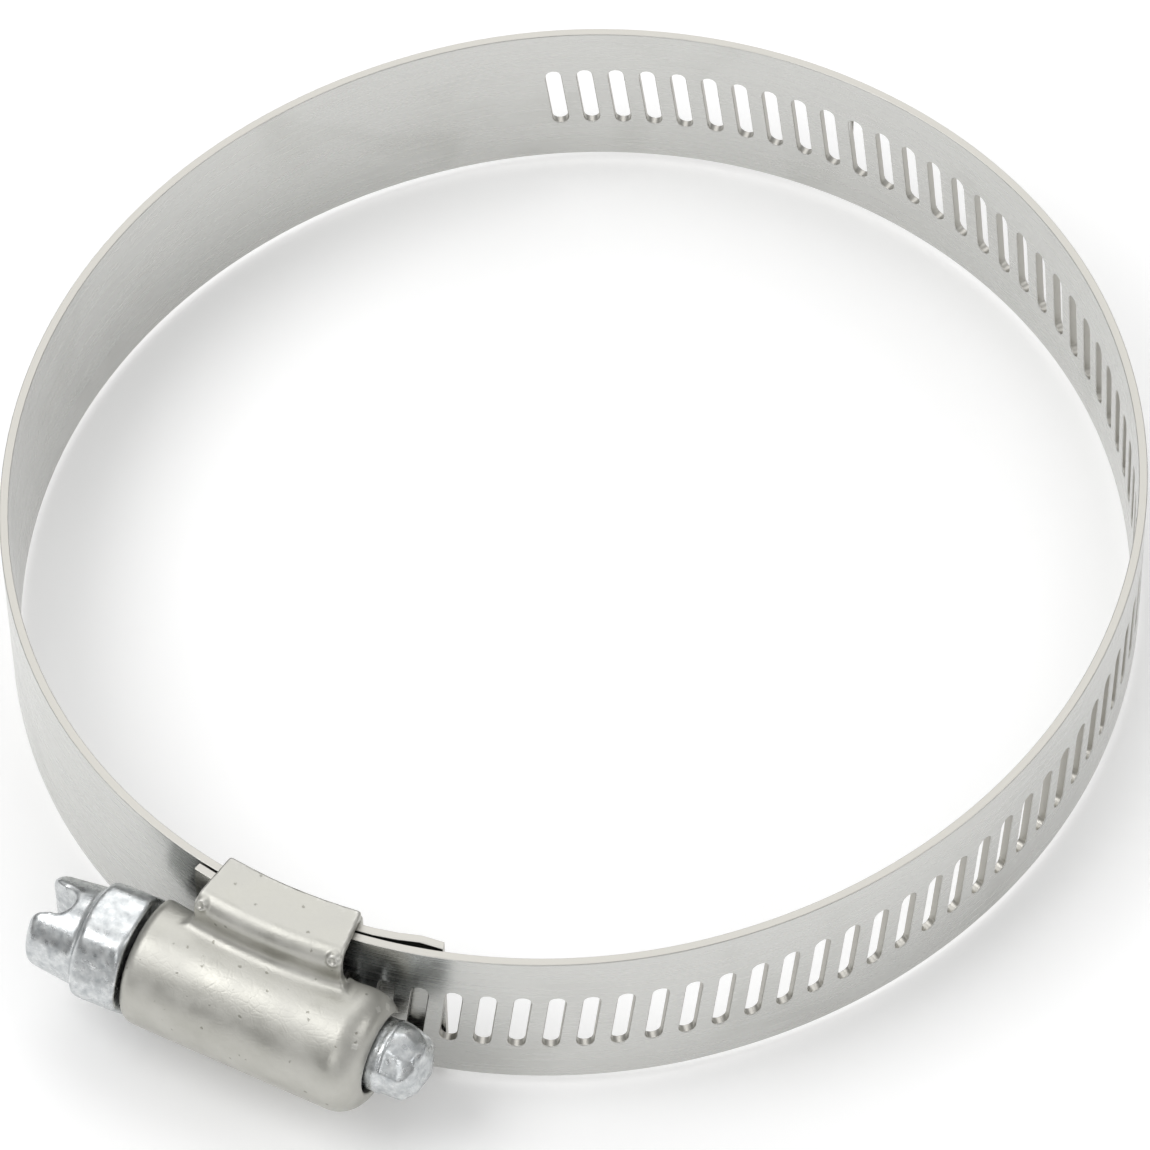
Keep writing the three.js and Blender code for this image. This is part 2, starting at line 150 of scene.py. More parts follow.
@dataclass(frozen=True)
class MetalFinish:
    """A bare or plated metal surface: what its maker calls it, its colours and its shine."""

    name: str
    light: str
    dark: str
    edge: str
    roughness: tuple[float, float]

    def start(self) -> tuple[bpy.types.Material, bpy.types.NodeTree]:
        """Makes the material with an empty tree.

        Returns:
            The material and its tree.
        """
        material = bpy.data.materials.new(self.name)
        material.use_nodes = True
        material.node_tree.nodes.clear()
        return material, material.node_tree

    def colours(
        self, tree: bpy.types.NodeTree, tone: bpy.types.NodeSocket, edge: bpy.types.NodeSocket
    ) -> bpy.types.NodeSocket:
        """Lays the dark and light colours by tone, and the edge colour over them.

        Args:
            tree: The material's tree.
            tone: Output socket, 0 for dark and 1 for light. Below 0 it is darker still.
            edge: Output socket, 1 where the edge colour shows.

        Returns:
            The output socket with the colour.
        """
        ends = {FIRST: linear(self.dark), SECOND: linear(self.light)}
        settings = {"data_type": "RGBA", "clamp_factor": False, **ends}
        face = add_node(tree, "ShaderNodeMix", settings, {FACTOR: tone}).outputs[MIXED]
        settings = {"data_type": "RGBA", SECOND: linear(self.edge)}
        return add_node(tree, "ShaderNodeMix", settings, {FACTOR: edge, FIRST: face}).outputs[MIXED]

    def end(
        self,
        tree: bpy.types.NodeTree,
        colour: bpy.types.NodeSocket,
        rough: bpy.types.NodeSocket,
        normal: bpy.types.NodeSocket,
    ) -> None:
        """Adds the metal shader and the output. A metal keeps the default IOR.

        Args:
            tree: The material's tree.
            colour: Output socket with the base colour.
            rough: Output socket with the roughness.
            normal: Output socket with the bumped normal.
        """
        shader = add_node(
            tree,
            "ShaderNodeBsdfPrincipled",
            {"Metallic": 1.0},
            {"Base Color": colour, "Roughness": rough, "Normal": normal},
        )
        add_node(tree, "ShaderNodeOutputMaterial", links={"Surface": shader.outputs["BSDF"]})


@dataclass(frozen=True)
class RolledStrip(MetalFinish):
    """Stainless steel strip, cold rolled and bright annealed, with sheared edges.

    Rolling leaves faint streaks along the strip that blur its reflections lengthwise, and the punched
    and sheared edges are duller and browner than the faces.
    """

    streak_length: float = 14.0
    streak_width: float = 0.28  # real roll marks are near 0.02 mm: drawn coarser so that they show
    streak_tone: float = 0.45
    cloud_size: float = 9.0
    edge_dull: float = 0.16
    mark_depth: float = 0.0015

    def build(self) -> bpy.types.Material:
        """Builds the material.

        Returns:
            The finished material.
        """
        material, tree = self.start()
        unrolled = add_node(tree, "ShaderNodeUVMap", {"uv_map": "unrolled"}).outputs["UV"]
        along = add_node(
            tree,
            "ShaderNodeMapping",
            {"Scale": (1 / self.streak_length, 1 / self.streak_width, 1.0)},
            {"Vector": unrolled},
        )
        streaks = add_node(
            tree,
            "ShaderNodeTexNoise",
            {"Scale": 1.0, "Detail": 3.0, "Roughness": 0.6},
            {"Vector": along.outputs[0]},
        ).outputs["Fac"]
        clouds = add_node(
            tree,
            "ShaderNodeTexNoise",
            {"Scale": 1 / self.cloud_size, "Detail": 2.0, "Distortion": 0.6},
            {"Vector": unrolled},
        ).outputs["Fac"]
        summed = add_node(
            tree, "ShaderNodeMath", {"operation": "MULTIPLY_ADD", 1: self.streak_tone}, {0: streaks, 2: clouds}
        )
        tone = add_node(tree, "ShaderNodeMapRange", NOISE_RANGE, {"Value": summed.outputs[0]})
        cut = add_node(tree, "ShaderNodeAttribute", {"attribute_name": "cut_edge"}).outputs["Fac"]
        colour = self.colours(tree, tone.outputs["Result"], cut)
        low, high = self.roughness
        shine = add_node(
            tree, "ShaderNodeMapRange", NOISE_RANGE | {"To Min": low, "To Max": high}, {"Value": streaks}
        )
        rough = add_node(
            tree,
            "ShaderNodeMath",
            {"operation": "MULTIPLY_ADD", 1: self.edge_dull},
            {0: cut, 2: shine.outputs["Result"]},
        )
        bump = add_node(
            tree, "ShaderNodeBump", {"Strength": 0.5, "Distance": self.mark_depth * MM}, {"Height": streaks}
        )
        self.end(tree, colour, rough.outputs[0], bump.outputs["Normal"])
        return material


@dataclass(frozen=True)
class WornAndHighlitMetal(MetalFinish):
    """A metal surface whose outward edges are drawn bright: rubbed wear on the tumbled sheet, a painted
    highlight on the zinc plate.
    """

    wear_and_highlight_range: tuple[float, float] = (0.515, 0.57)
    wear_and_highlight_share: float = 0.7

    def edge_wear_and_highlight(self, tree: bpy.types.NodeTree) -> bpy.types.NodeSocket:
        """Finds the outward edges by how pointed the mesh is there, for edge wear and for a painted highlight.

        Args:
            tree: The material's tree.

        Returns:
            The output socket, 0 on a face and up to wear_and_highlight_share on an edge.
        """
        low, high = self.wear_and_highlight_range
        pointed = add_node(tree, "ShaderNodeNewGeometry").outputs["Pointiness"]
        settings = {"From Min": low, "From Max": high, "To Min": 0.0, "To Max": self.wear_and_highlight_share}
        return add_node(tree, "ShaderNodeMapRange", settings, {"Value": pointed}).outputs["Result"]


@dataclass(frozen=True)
class TumbledSheet(WornAndHighlitMetal):
    """Stainless steel sheet, pressed to shape and tumbled with abrasive stones.

    Tumbling leaves a warm satin grey with short scratches that run every way, small pits and edges
    rubbed bright.
    """

    cloud_size: float = 2.4
    scratch_length: float = 3.4
    scratch_spacing: float = 0.8
    scratch_width: float = 0.07  # real ones are near 0.01 mm: drawn coarser so that they show
    scratch_depth: float = 0.4
    pit_spacing: float = 1.1
    pit_width: float = 0.24
    pit_ragged: float = 0.3
    pit_tone: float = -1.4
    pit_depth: float = 1.2
    grain: float = 0.22  # the stones leave a grain near 0.05 mm: drawn coarser so that it shows
    edge_polish: float = 0.08
    mark_depth: float = 0.02

    def scratches(
        self, tree: bpy.types.NodeTree, place: bpy.types.NodeSocket, turn: tuple[float, float, float]
    ) -> bpy.types.NodeSocket:
        """Draws one family of near-parallel scratches.

        Args:
            tree: The material's tree.
            place: Output socket with the place in metres.
            turn: Rotation of the family in radians.

        Returns:
            The output socket, 1 in a scratch and 0 off it.
        """
        turned = add_node(tree, "ShaderNodeMapping", {"Rotation": turn}, {"Vector": place})
        sizes = (self.scratch_length, self.scratch_spacing, self.scratch_spacing)
        drawn = add_node(
            tree,
            "ShaderNodeMapping",
            {"Scale": tuple(1 / (size * MM) for size in sizes)},
            {"Vector": turned.outputs[0]},
        )
        cells = add_node(
            tree,
            "ShaderNodeTexVoronoi",
            {"feature": "DISTANCE_TO_EDGE", "Scale": 1.0},
            {"Vector": drawn.outputs[0]},
        )
        share = self.scratch_width / self.scratch_spacing
        settings = {"From Min": 0.0, "From Max": share, "To Min": 1.0, "To Max": 0.0}
        return add_node(
            tree, "ShaderNodeMapRange", settings, {"Value": cells.outputs["Distance"]}
        ).outputs["Result"]

    def pits(
        self, tree: bpy.types.NodeTree, place: bpy.types.NodeSocket, grain: bpy.types.NodeSocket
    ) -> bpy.types.NodeSocket:
        """Draws small pits with ragged edges.

        Args:
            tree: The material's tree.
            place: Output socket with the place in metres.
            grain: Output socket with the noise that frays them.

        Returns:
            The output socket, 1 in a pit and 0 off it.
        """
        dots = add_node(
            tree, "ShaderNodeTexVoronoi", {"Scale": 1 / (self.pit_spacing * MM)}, {"Vector": place}
        ).outputs["Distance"]
        frayed = add_node(
            tree, "ShaderNodeMath", {"operation": "MULTIPLY_ADD", 1: self.pit_ragged}, {0: grain, 2: dots}
        )
        share = self.pit_width / self.pit_spacing / 2 + self.pit_ragged / 2
        settings = {"From Min": share, "From Max": 0.8 * share, "To Min": 0.0, "To Max": 1.0}
        return add_node(
            tree, "ShaderNodeMapRange", settings, {"Value": frayed.outputs[0]}
        ).outputs["Result"]

    def build(self) -> bpy.types.Material:
        """Builds the material.

        Returns:
            The finished material.
        """
        material, tree = self.start()
        place = add_node(tree, "ShaderNodeTexCoord").outputs["Object"]
        clouds = add_node(
            tree, "ShaderNodeTexNoise", {"Scale": 1 / (self.cloud_size * MM), "Detail": 4.0}, {"Vector": place}
        ).outputs["Fac"]
        grain = add_node(
            tree, "ShaderNodeTexNoise", {"Scale": 1 / (self.grain * MM), "Detail": 2.0}, {"Vector": place}
        ).outputs["Fac"]
        first = self.scratches(tree, place, (0.2, 0.5, 0.35))
        second = self.scratches(tree, place, (1.1, 0.3, 1.9))
        marks = add_node(tree, "ShaderNodeMath", {"operation": "MAXIMUM"}, {0: first, 1: second}).outputs[0]
        pits = self.pits(tree, place, grain)
        cloudy = add_node(tree, "ShaderNodeMapRange", NOISE_RANGE, {"Value": clouds}).outputs["Result"]
        tone = add_node(
            tree, "ShaderNodeMath", {"operation": "MULTIPLY_ADD", 1: self.pit_tone}, {0: pits, 2: cloudy}
        )
        edge_wear_and_highlight = self.edge_wear_and_highlight(tree)
        colour = self.colours(tree, tone.outputs[0], edge_wear_and_highlight)
        low, high = self.roughness
        shine = add_node(
            tree, "ShaderNodeMapRange", NOISE_RANGE | {"To Min": low, "To Max": high}, {"Value": clouds}
        )
        rough = add_node(
            tree,
            "ShaderNodeMath",
            {"operation": "MULTIPLY_ADD", 1: -self.edge_polish},
            {0: edge_wear_and_highlight, 2: shine.outputs["Result"]},
        )
        height = add_node(
            tree, "ShaderNodeMath", {"operation": "MULTIPLY_ADD", 1: -self.scratch_depth}, {0: marks, 2: grain}
        )
        height = add_node(
            tree,
            "ShaderNodeMath",
            {"operation": "MULTIPLY_ADD", 1: -self.pit_depth},
            {0: pits, 2: height.outputs[0]},
        )
        bump = add_node(
            tree,
            "ShaderNodeBump",
            {"Strength": 0.4, "Distance": self.mark_depth * MM},
            {"Height": height.outputs[0]},
        )
        self.end(tree, colour, rough.outputs[0], bump.outputs["Normal"])
        return material


@dataclass(frozen=True)
class ZincPlate(WornAndHighlitMetal):
    """Carbon steel, cold headed and bright zinc plated.

    The plating is a cool silver with small patches of different shine, and its pointed edges get a painted
    highlight in the edge colour.
    """

    # How pointed an edge must be before it gets the painted highlight.
    wear_and_highlight_range: tuple[float, float] = (0.52, 0.62)
    patch_size: float = 0.55
    patch_depth: float = 0.08
    dent_size: float = 0.6
    mark_depth: float = 0.05

    def build(self) -> bpy.types.Material:
        """Builds the material.

        Returns:
            The finished material.
        """
        material, tree = self.start()
        place = add_node(tree, "ShaderNodeTexCoord").outputs["Object"]
        patches = add_node(
            tree,
            "ShaderNodeTexVoronoi",
            {"feature": "SMOOTH_F1", "Scale": 1 / (self.patch_size * MM), "Smoothness": 0.6},
            {"Vector": place},
        ).outputs["Distance"]
        dents = add_node(
            tree,
            "ShaderNodeTexNoise",
            {"Scale": 1 / (self.dent_size * MM), "Detail": 5.0, "Roughness": 0.62},
            {"Vector": place},
        ).outputs["Fac"]
        tone = add_node(tree, "ShaderNodeMapRange", NOISE_RANGE, {"Value": dents}).outputs["Result"]
        # The near-white edge colour on pointed edges is a painted highlight.
        colour = self.colours(tree, tone, self.edge_wear_and_highlight(tree))
        low, high = self.roughness
        rough = add_node(
            tree,
            "ShaderNodeMapRange",
            {"From Min": 0.0, "From Max": 0.9, "To Min": low, "To Max": high},
            {"Value": patches},
        )
        height = add_node(
            tree, "ShaderNodeMath", {"operation": "MULTIPLY_ADD", 1: self.patch_depth}, {0: patches, 2: dents}
        )
        bump = add_node(
            tree,
            "ShaderNodeBump",
            {"Strength": 0.6, "Distance": self.mark_depth * MM},
            {"Height": height.outputs[0]},
        )
        self.end(tree, colour, rough.outputs["Result"], bump.outputs["Normal"])
        return material


@dataclass(frozen=True)
class MattPaper:
    """Backdrop paper, uncoated: an even near-white with no sheen, which bounces a little light upwards."""

    name: str
    colour: str
    roughness: float = 0.9
    specular: float = 0.1
    glow: float = 0.12

    def build(self) -> bpy.types.Material:
        """Builds the material.

        Returns:
            The finished material.
        """
        material = bpy.data.materials.new(self.name)
        material.use_nodes = True
        shader = material.node_tree.nodes["Principled BSDF"]
        shader.inputs["Base Color"].default_value = linear(self.colour)
        shader.inputs["Roughness"].default_value = self.roughness
        shader.inputs["Specular IOR Level"].default_value = self.specular
        shader.inputs["Emission Color"].default_value = linear("#FFFFFF")
        shader.inputs["Emission Strength"].default_value = self.glow
        return material


STRIP = RolledStrip("rolled_stainless_strip", "#CDCDCA", "#BEBEBA", "#BDBBB5", (0.2, 0.32))
SHEET = TumbledSheet("tumbled_stainless_sheet", "#C8C7C1", "#B2B1AA", "#DFDED9", (0.36, 0.54))
# The zinc plate's near-white edge colour is a painted highlight on its pointed edges.
PLATE = ZincPlate("bright_zinc_plate", "#DCDEDE", "#ADB1B3", "#F2F3F3", (0.18, 0.42))
PAPER = MattPaper("matt_white_paper", "#FBFBFB")


# ---------------------------------------------------------------- meshes


@dataclass
class MeshData:
    """Vertices, faces and normals in millimetres, before they become a Blender mesh."""

    points: Array
    faces: list[tuple[int, ...]]
    normals: Array
    unrolled: Array | None = None
    cut_edge: Array | None = None

    def to_object(self, name: str, material: bpy.types.Material) -> bpy.types.Object:
        """Makes the Blender object.

        Args:
            name: Name of the object.
            material: Its material.

        Returns:
            The object, linked to the scene.
        """
        mesh = bpy.data.meshes.new(name)
        mesh.from_pydata((self.points * MM).tolist(), [], self.faces)
        mesh.polygons.foreach_set("use_smooth", [True] * len(mesh.polygons))
        if self.unrolled is not None:
            corners = np.zeros(len(mesh.loops), np.int32)
            mesh.loops.foreach_get("vertex_index", corners)
            layer = mesh.uv_layers.new(name="unrolled")
            layer.data.foreach_set("uv", self.unrolled[corners].astype(np.float32).ravel())
        if self.cut_edge is not None:
            attribute = mesh.attributes.new("cut_edge", "FLOAT", "POINT")
            attribute.data.foreach_set("value", self.cut_edge.astype(np.float32))
        mesh.materials.append(material)
        mesh.update()
        mesh.normals_split_custom_set_from_vertices(self.normals.tolist())
        made = bpy.data.objects.new(name, mesh)
        bpy.context.scene.collection.objects.link(made)
        return made


def round_union(a: Array, b: Array, radius: float) -> Array:
    """Joins two fields with a concave fillet.

    Args:
        a: Distances to one shape.
        b: Distances to the other.
        radius: Fillet radius.

    Returns:
        Distances to the joined shape.
    """
    share = np.clip(0.5 + 0.5 * (b - a) / radius, 0, 1)
    return b + (a - b) * share - radius * share * (1 - share)


def round_common(a: Array, b: Array, radius: float) -> Array:
    """Keeps what two fields share, with a rounded edge between them."""
    return -round_union(-a, -b, radius)


def drum(place: Array, radius: float, ends: tuple[float, float], rounds: tuple[float, float]) -> Array:
    """A cylinder along the first axis with rounded ends.

    Args:
        place: Points, by their place along the axis and across it.
        radius: Its radius.
        ends: Where it starts and ends on the axis.
        rounds: Radius of its edge at each end.

    Returns:
        Distances to the drum.
    """
    middle, half = (ends[0] + ends[1]) / 2, (ends[1] - ends[0]) / 2
    along = place[:, 0] - middle
    edge = np.where(along < 0, rounds[0], rounds[1])
    out = np.stack([np.hypot(place[:, 1], place[:, 2]) - radius + edge, np.abs(along) - half + edge])
    return np.linalg.norm(np.maximum(out, 0), axis=0) + np.minimum(out.max(axis=0), 0) - edge


def wedge(place: Array, head: float, tip: float, margin: float = 0.0) -> Array:
    """The space between two half planes through the arch's axis.

    Args:
        place: Points from the arch's centre.
        head: Direction of the half plane at the screw's head, in degrees.
        tip: Direction of the one at its tip.
        margin: How much further out each of them stands.

    Returns:
        Distances to it.
    """
    a, b = math.radians(head), math.radians(tip)
    before = place[:, 0] * math.sin(a) - place[:, 1] * math.cos(a)
    after = -place[:, 0] * math.sin(b) + place[:, 1] * math.cos(b)
    return np.maximum(before, after) - margin


def slope(shape: Field, points: Array, step: float = 0.015) -> Array:
    """The direction in which a field grows.

    Args:
        shape: The field.
        points: Where to look.
        step: Distance over which it is measured.

    Returns:
        One vector for each point.
    """
    shifts = np.eye(3) * step
    return np.stack([shape(points + s) - shape(points - s) for s in shifts], axis=1) / (2 * step)


@dataclass
class SkinNet:
    """Lays a net of four-sided faces over the surface where a field is zero."""

    low: tuple[float, float, float]
    high: tuple[float, float, float]
    step: float
    passes: int = 4
    least_slope: float = 0.25

    def build(self, shape: Field) -> MeshData:
        """Meshes a field.

        Args:
            shape: Distances to the shape, below zero inside it.

        Returns:
            The mesh, in the field's own frame.
        """
        axes = [np.arange(lo, hi + self.step, self.step) for lo, hi in zip(self.low, self.high)]
        grid = np.stack(np.meshgrid(*axes, indexing="ij"), axis=-1)
        value = shape(grid.reshape(-1, 3)).reshape(grid.shape[:3])
        cells = tuple(n - 1 for n in value.shape)
        total, count = np.zeros((*cells, 3)), np.zeros(cells)
        edges = []
        for axis in range(3):
            near = np.take(value, range(value.shape[axis] - 1), axis)
            far = np.take(value, range(1, value.shape[axis]), axis)
            crossed = (near < 0) != (far < 0)
            share = np.where(crossed, near / np.where(crossed, near - far, 1), 0)
            start = np.take(grid, range(value.shape[axis] - 1), axis)
            cross = (start + share[..., None] * np.eye(3)[axis] * self.step) * crossed[..., None]
            others = [i for i in range(3) if i != axis]
            for first in (0, 1):
                for second in (0, 1):
                    window = [slice(None)] * 3
                    window[others[0]] = slice(first, cells[others[0]] + first)
                    window[others[1]] = slice(second, cells[others[1]] + second)
                    total += cross[tuple(window)]
                    count += crossed[tuple(window)]
            edges.append((axis, near < 0, crossed))
        used = count > 0
        number = np.full(cells, -1)
        number[used] = np.arange(used.sum())
        points = total[used] / count[used][:, None]
        faces = np.concatenate([self.around(number, *edge) for edge in edges])
        points, normals = self.settle(shape, points)
        return MeshData(points, [tuple(f) for f in faces.tolist()], normals)

    def settle(self, shape: Field, points: Array) -> tuple[Array, Array]:
        """Moves the net's points onto the surface.

        Args:
            shape: Distances to the shape.
            points: Points near its surface.

        Returns:
            The moved points and the normals there.
        """
        for _ in range(self.passes):
            grown = slope(shape, points)
            steep = np.maximum((grown**2).sum(1), self.least_slope)
            move = shape(points)[:, None] * grown / steep[:, None]
            points = points - np.clip(move, -self.step, self.step)
        normals = slope(shape, points)
        normals /= np.maximum(np.linalg.norm(normals, axis=1), 1e-6)[:, None]
        return points, normals

    @staticmethod
    def around(number: Array, axis: int, inside: Array, crossed: Array) -> Array:
        """The faces round the grid's edges along one axis.

        Args:
            number: Vertex number of each cell.
            axis: The axis that the edges run along.
            inside: Which edges start inside the shape.
            crossed: Which edges cross the surface.

        Returns:
            Four vertex numbers for each face.
        """
        place = np.argwhere(crossed)
        second, third = (axis + 1) % 3, (axis + 2) % 3
        starts_inside = inside[crossed]
        corner = []
        for back_second, back_third in ((1, 1), (0, 1), (0, 0), (1, 0)):
            cell = place.copy()
            cell[:, second] -= back_second
            cell[:, third] -= back_third
            corner.append(number[tuple(cell.T)])
        made = np.stack(corner, axis=1)
        made[~starts_inside] = made[~starts_inside][:, ::-1]
        return made


# ---------------------------------------------------------------- the clamp


@dataclass(frozen=True)
class LoopHalf:
    """One half of the loop's middle line, made of three arcs. s runs from the opening to the housing."""

    end_radius: float
    spacing: float
    centre_y: float
    turn: int

    @property
    def side_radius(self) -> float:
        """Radius of the flatter arc at the side."""
        return self.end_radius + self.spacing * math.sqrt(2)

    @property
    def side_start(self) -> float:
        """s where the flatter arc starts."""
        return self.end_radius * math.pi / 4

    @property
    def side_end(self) -> float:
        """s where the flatter arc ends."""
        return self.side_start + self.side_radius * math.pi / 2

    def length_to(self, degrees: float) -> float:
        """Finds where the line has a direction from its arc's centre.

        Args:
            degrees: The direction.

        Returns:
            s there.
        """
        swept = self.turn * (math.radians(degrees) - math.pi / 2)
        if swept <= math.pi / 4:
            return swept * self.end_radius
        if swept <= 3 * math.pi / 4:
            return self.side_start + (swept - math.pi / 4) * self.side_radius
        return self.side_end + (swept - 3 * math.pi / 4) * self.end_radius

    def place(self, s: Array, z: Array, lift: Array) -> tuple[Array, Array, Array]:
        """Rolls flat strip coordinates up onto the loop.

        Args:
            s: Place along the strip.
            z: Height.
            lift: Distance outwards from the middle line.

        Returns:
            The points, the outward directions and the directions of growing s.
        """
        on_side = (s > self.side_start) & (s <= self.side_end)
        past = s > self.side_end
        swept = s / self.end_radius
        swept = np.where(on_side, math.pi / 4 + (s - self.side_start) / self.side_radius, swept)
        swept = np.where(past, 3 * math.pi / 4 + (s - self.side_end) / self.end_radius, swept)
        angle = math.pi / 2 + self.turn * swept
        radius = np.where(on_side, self.side_radius, self.end_radius) + lift
        centre_x = np.where(on_side, self.turn * self.spacing, 0.0)
        centre_y = self.centre_y + np.where(on_side, 0.0, np.where(past, -1, 1) * self.spacing)
        out = np.stack([np.cos(angle), np.sin(angle), np.zeros_like(angle)], axis=1)
        along = np.stack([-np.sin(angle), np.cos(angle), np.zeros_like(angle)], axis=1) * self.turn
        points = np.stack([centre_x, centre_y, z], axis=1) + radius[:, None] * out
        return points, out, along


@dataclass
class Layout:
    """The sizes that several pieces share, and where the clamp stands in the frame."""

    loop_dia: float = 76.2
    oval: float = 3.8
    band_width: float = 12.7
    band_thick: float = 0.6
    layer_gap: float = 0.12
    pitch: float = 2.215
    slot_lean: float = 6.5
    slot_drop: float = 0.2
    strap_head: float = -96.0
    strap_tip: float = -80.4
    crest_radius: float = 3.45
    bite: float = 0.38
    screw_tilt: float = 3.1
    centre: Array = field(init=False)
    spacing: float = field(init=False)
    fixed: LoopHalf = field(init=False)
    free: LoopHalf = field(init=False)

    def __post_init__(self) -> None:
        """Works out the loop's halves, and takes the loop's centre from the frame."""
        self.spacing = self.oval / 2 / (2 - math.sqrt(2))
        radius = self.loop_dia / 2 - self.spacing / math.sqrt(2) + self.band_thick / 2
        step = self.band_thick + self.layer_gap
        self.fixed = LoopHalf(radius, self.spacing, 0.0, 1)
        self.free = LoopHalf(radius + step, self.spacing - step / 2, -step / 2, -1)
        joints = {joint["name"]: joint for joint in frame["joints"]}
        self.centre = np.array(joints["tail_feed"]["pos_m"]) / MM + [0, self.spacing, 0]

    @property
    def arch(self) -> Array:
        """Centre of the arcs that pass through the housing."""
        return self.centre - [0, self.spacing, 0]

    @property
    def screw_out(self) -> float:
        """How far the screw's axis stands from the arch's centre."""
        reach = self.free.end_radius + self.band_thick / 2 + self.crest_radius - self.bite
        return reach / math.cos(math.radians(self.screw_tilt))

    def to_frame(self, data: MeshData, origin: Array, turn_deg: float = 0.0) -> MeshData:
        """Moves a mesh from a local frame into the row frame.

        Args:
            data: The mesh, changed in place.
            origin: Where the local origin goes.
            turn_deg: Turn about Z on the way.

        Returns:
            The same mesh.
        """
        a = math.radians(turn_deg)
        turn = np.array([[math.cos(a), -math.sin(a), 0], [math.sin(a), math.cos(a), 0], [0, 0, 1]])
        data.points = data.points @ turn.T + origin
        data.normals = data.normals @ turn.T
        return data


@dataclass
class StripBuilder:
    """Collects the cells of a strip in flat coordinates: s, z and lift, with a normal in the same axes."""

    half: LoopHalf
    centre: Array
    face_gap: float = 40.0  # keeps the patterns of the strip's two faces apart
    flat: list[Array] = field(default_factory=list)
    normal: list[Array] = field(default_factory=list)
    edge: list[float] = field(default_factory=list)
    faces: list[tuple[int, ...]] = field(default_factory=list)
    known: dict[tuple[int, ...], int] = field(default_factory=dict)

    def vertex(self, s: float, z: float, lift: float, normal: tuple[float, float, float], cut: float) -> int:
        """Adds a vertex, or finds the one that is already there.

        Args:
            s: Place along the strip.
            z: Height from the strip's middle.
            lift: Distance from its middle line.
            normal: Normal along s, z and lift.
            cut: 1 on a cut edge, 0 on a rolled face.

        Returns:
            The vertex's number.
        """
        # Two are one where their places agree to 0.0001 mm and their normals to a twentieth.
        key = (*(round(v * 1e4) for v in (s, z, lift)), *(round(n * 20) for n in normal))
        if key not in self.known:
            self.known[key] = len(self.flat)
            self.flat.append(np.array([s, z, lift]))
            self.normal.append(np.array(normal))
            self.edge.append(cut)
        return self.known[key]

    def face(self, *corners: int) -> None:
        """Adds a face, unless two of its corners are one."""
        if len(set(corners)) == len(corners):
            self.faces.append(corners if self.half.turn > 0 else corners[::-1])

    def finish(self, bow: Callable[[Array], Array] | None = None) -> MeshData:
        """Rolls the strip up.

        Args:
            bow: Extra lift by place along the strip.

        Returns:
            The mesh in the row frame.
        """
        flat, normal = np.array(self.flat), np.array(self.normal)
        lift = flat[:, 2] + (bow(flat[:, 0]) if bow else 0)
        points, out, along = self.half.place(flat[:, 0], flat[:, 1], lift)
        turned = normal[:, :1] * along + normal[:, 1:2] * [0, 0, 1] + normal[:, 2:] * out
        turned /= np.linalg.norm(turned, axis=1)[:, None]
        across = flat[:, 1] + self.face_gap * np.sign(flat[:, 2])
        unrolled = np.stack([self.half.turn * flat[:, 0], across], axis=1)
        return MeshData(points + self.centre, self.faces, turned, unrolled, np.array(self.edge))


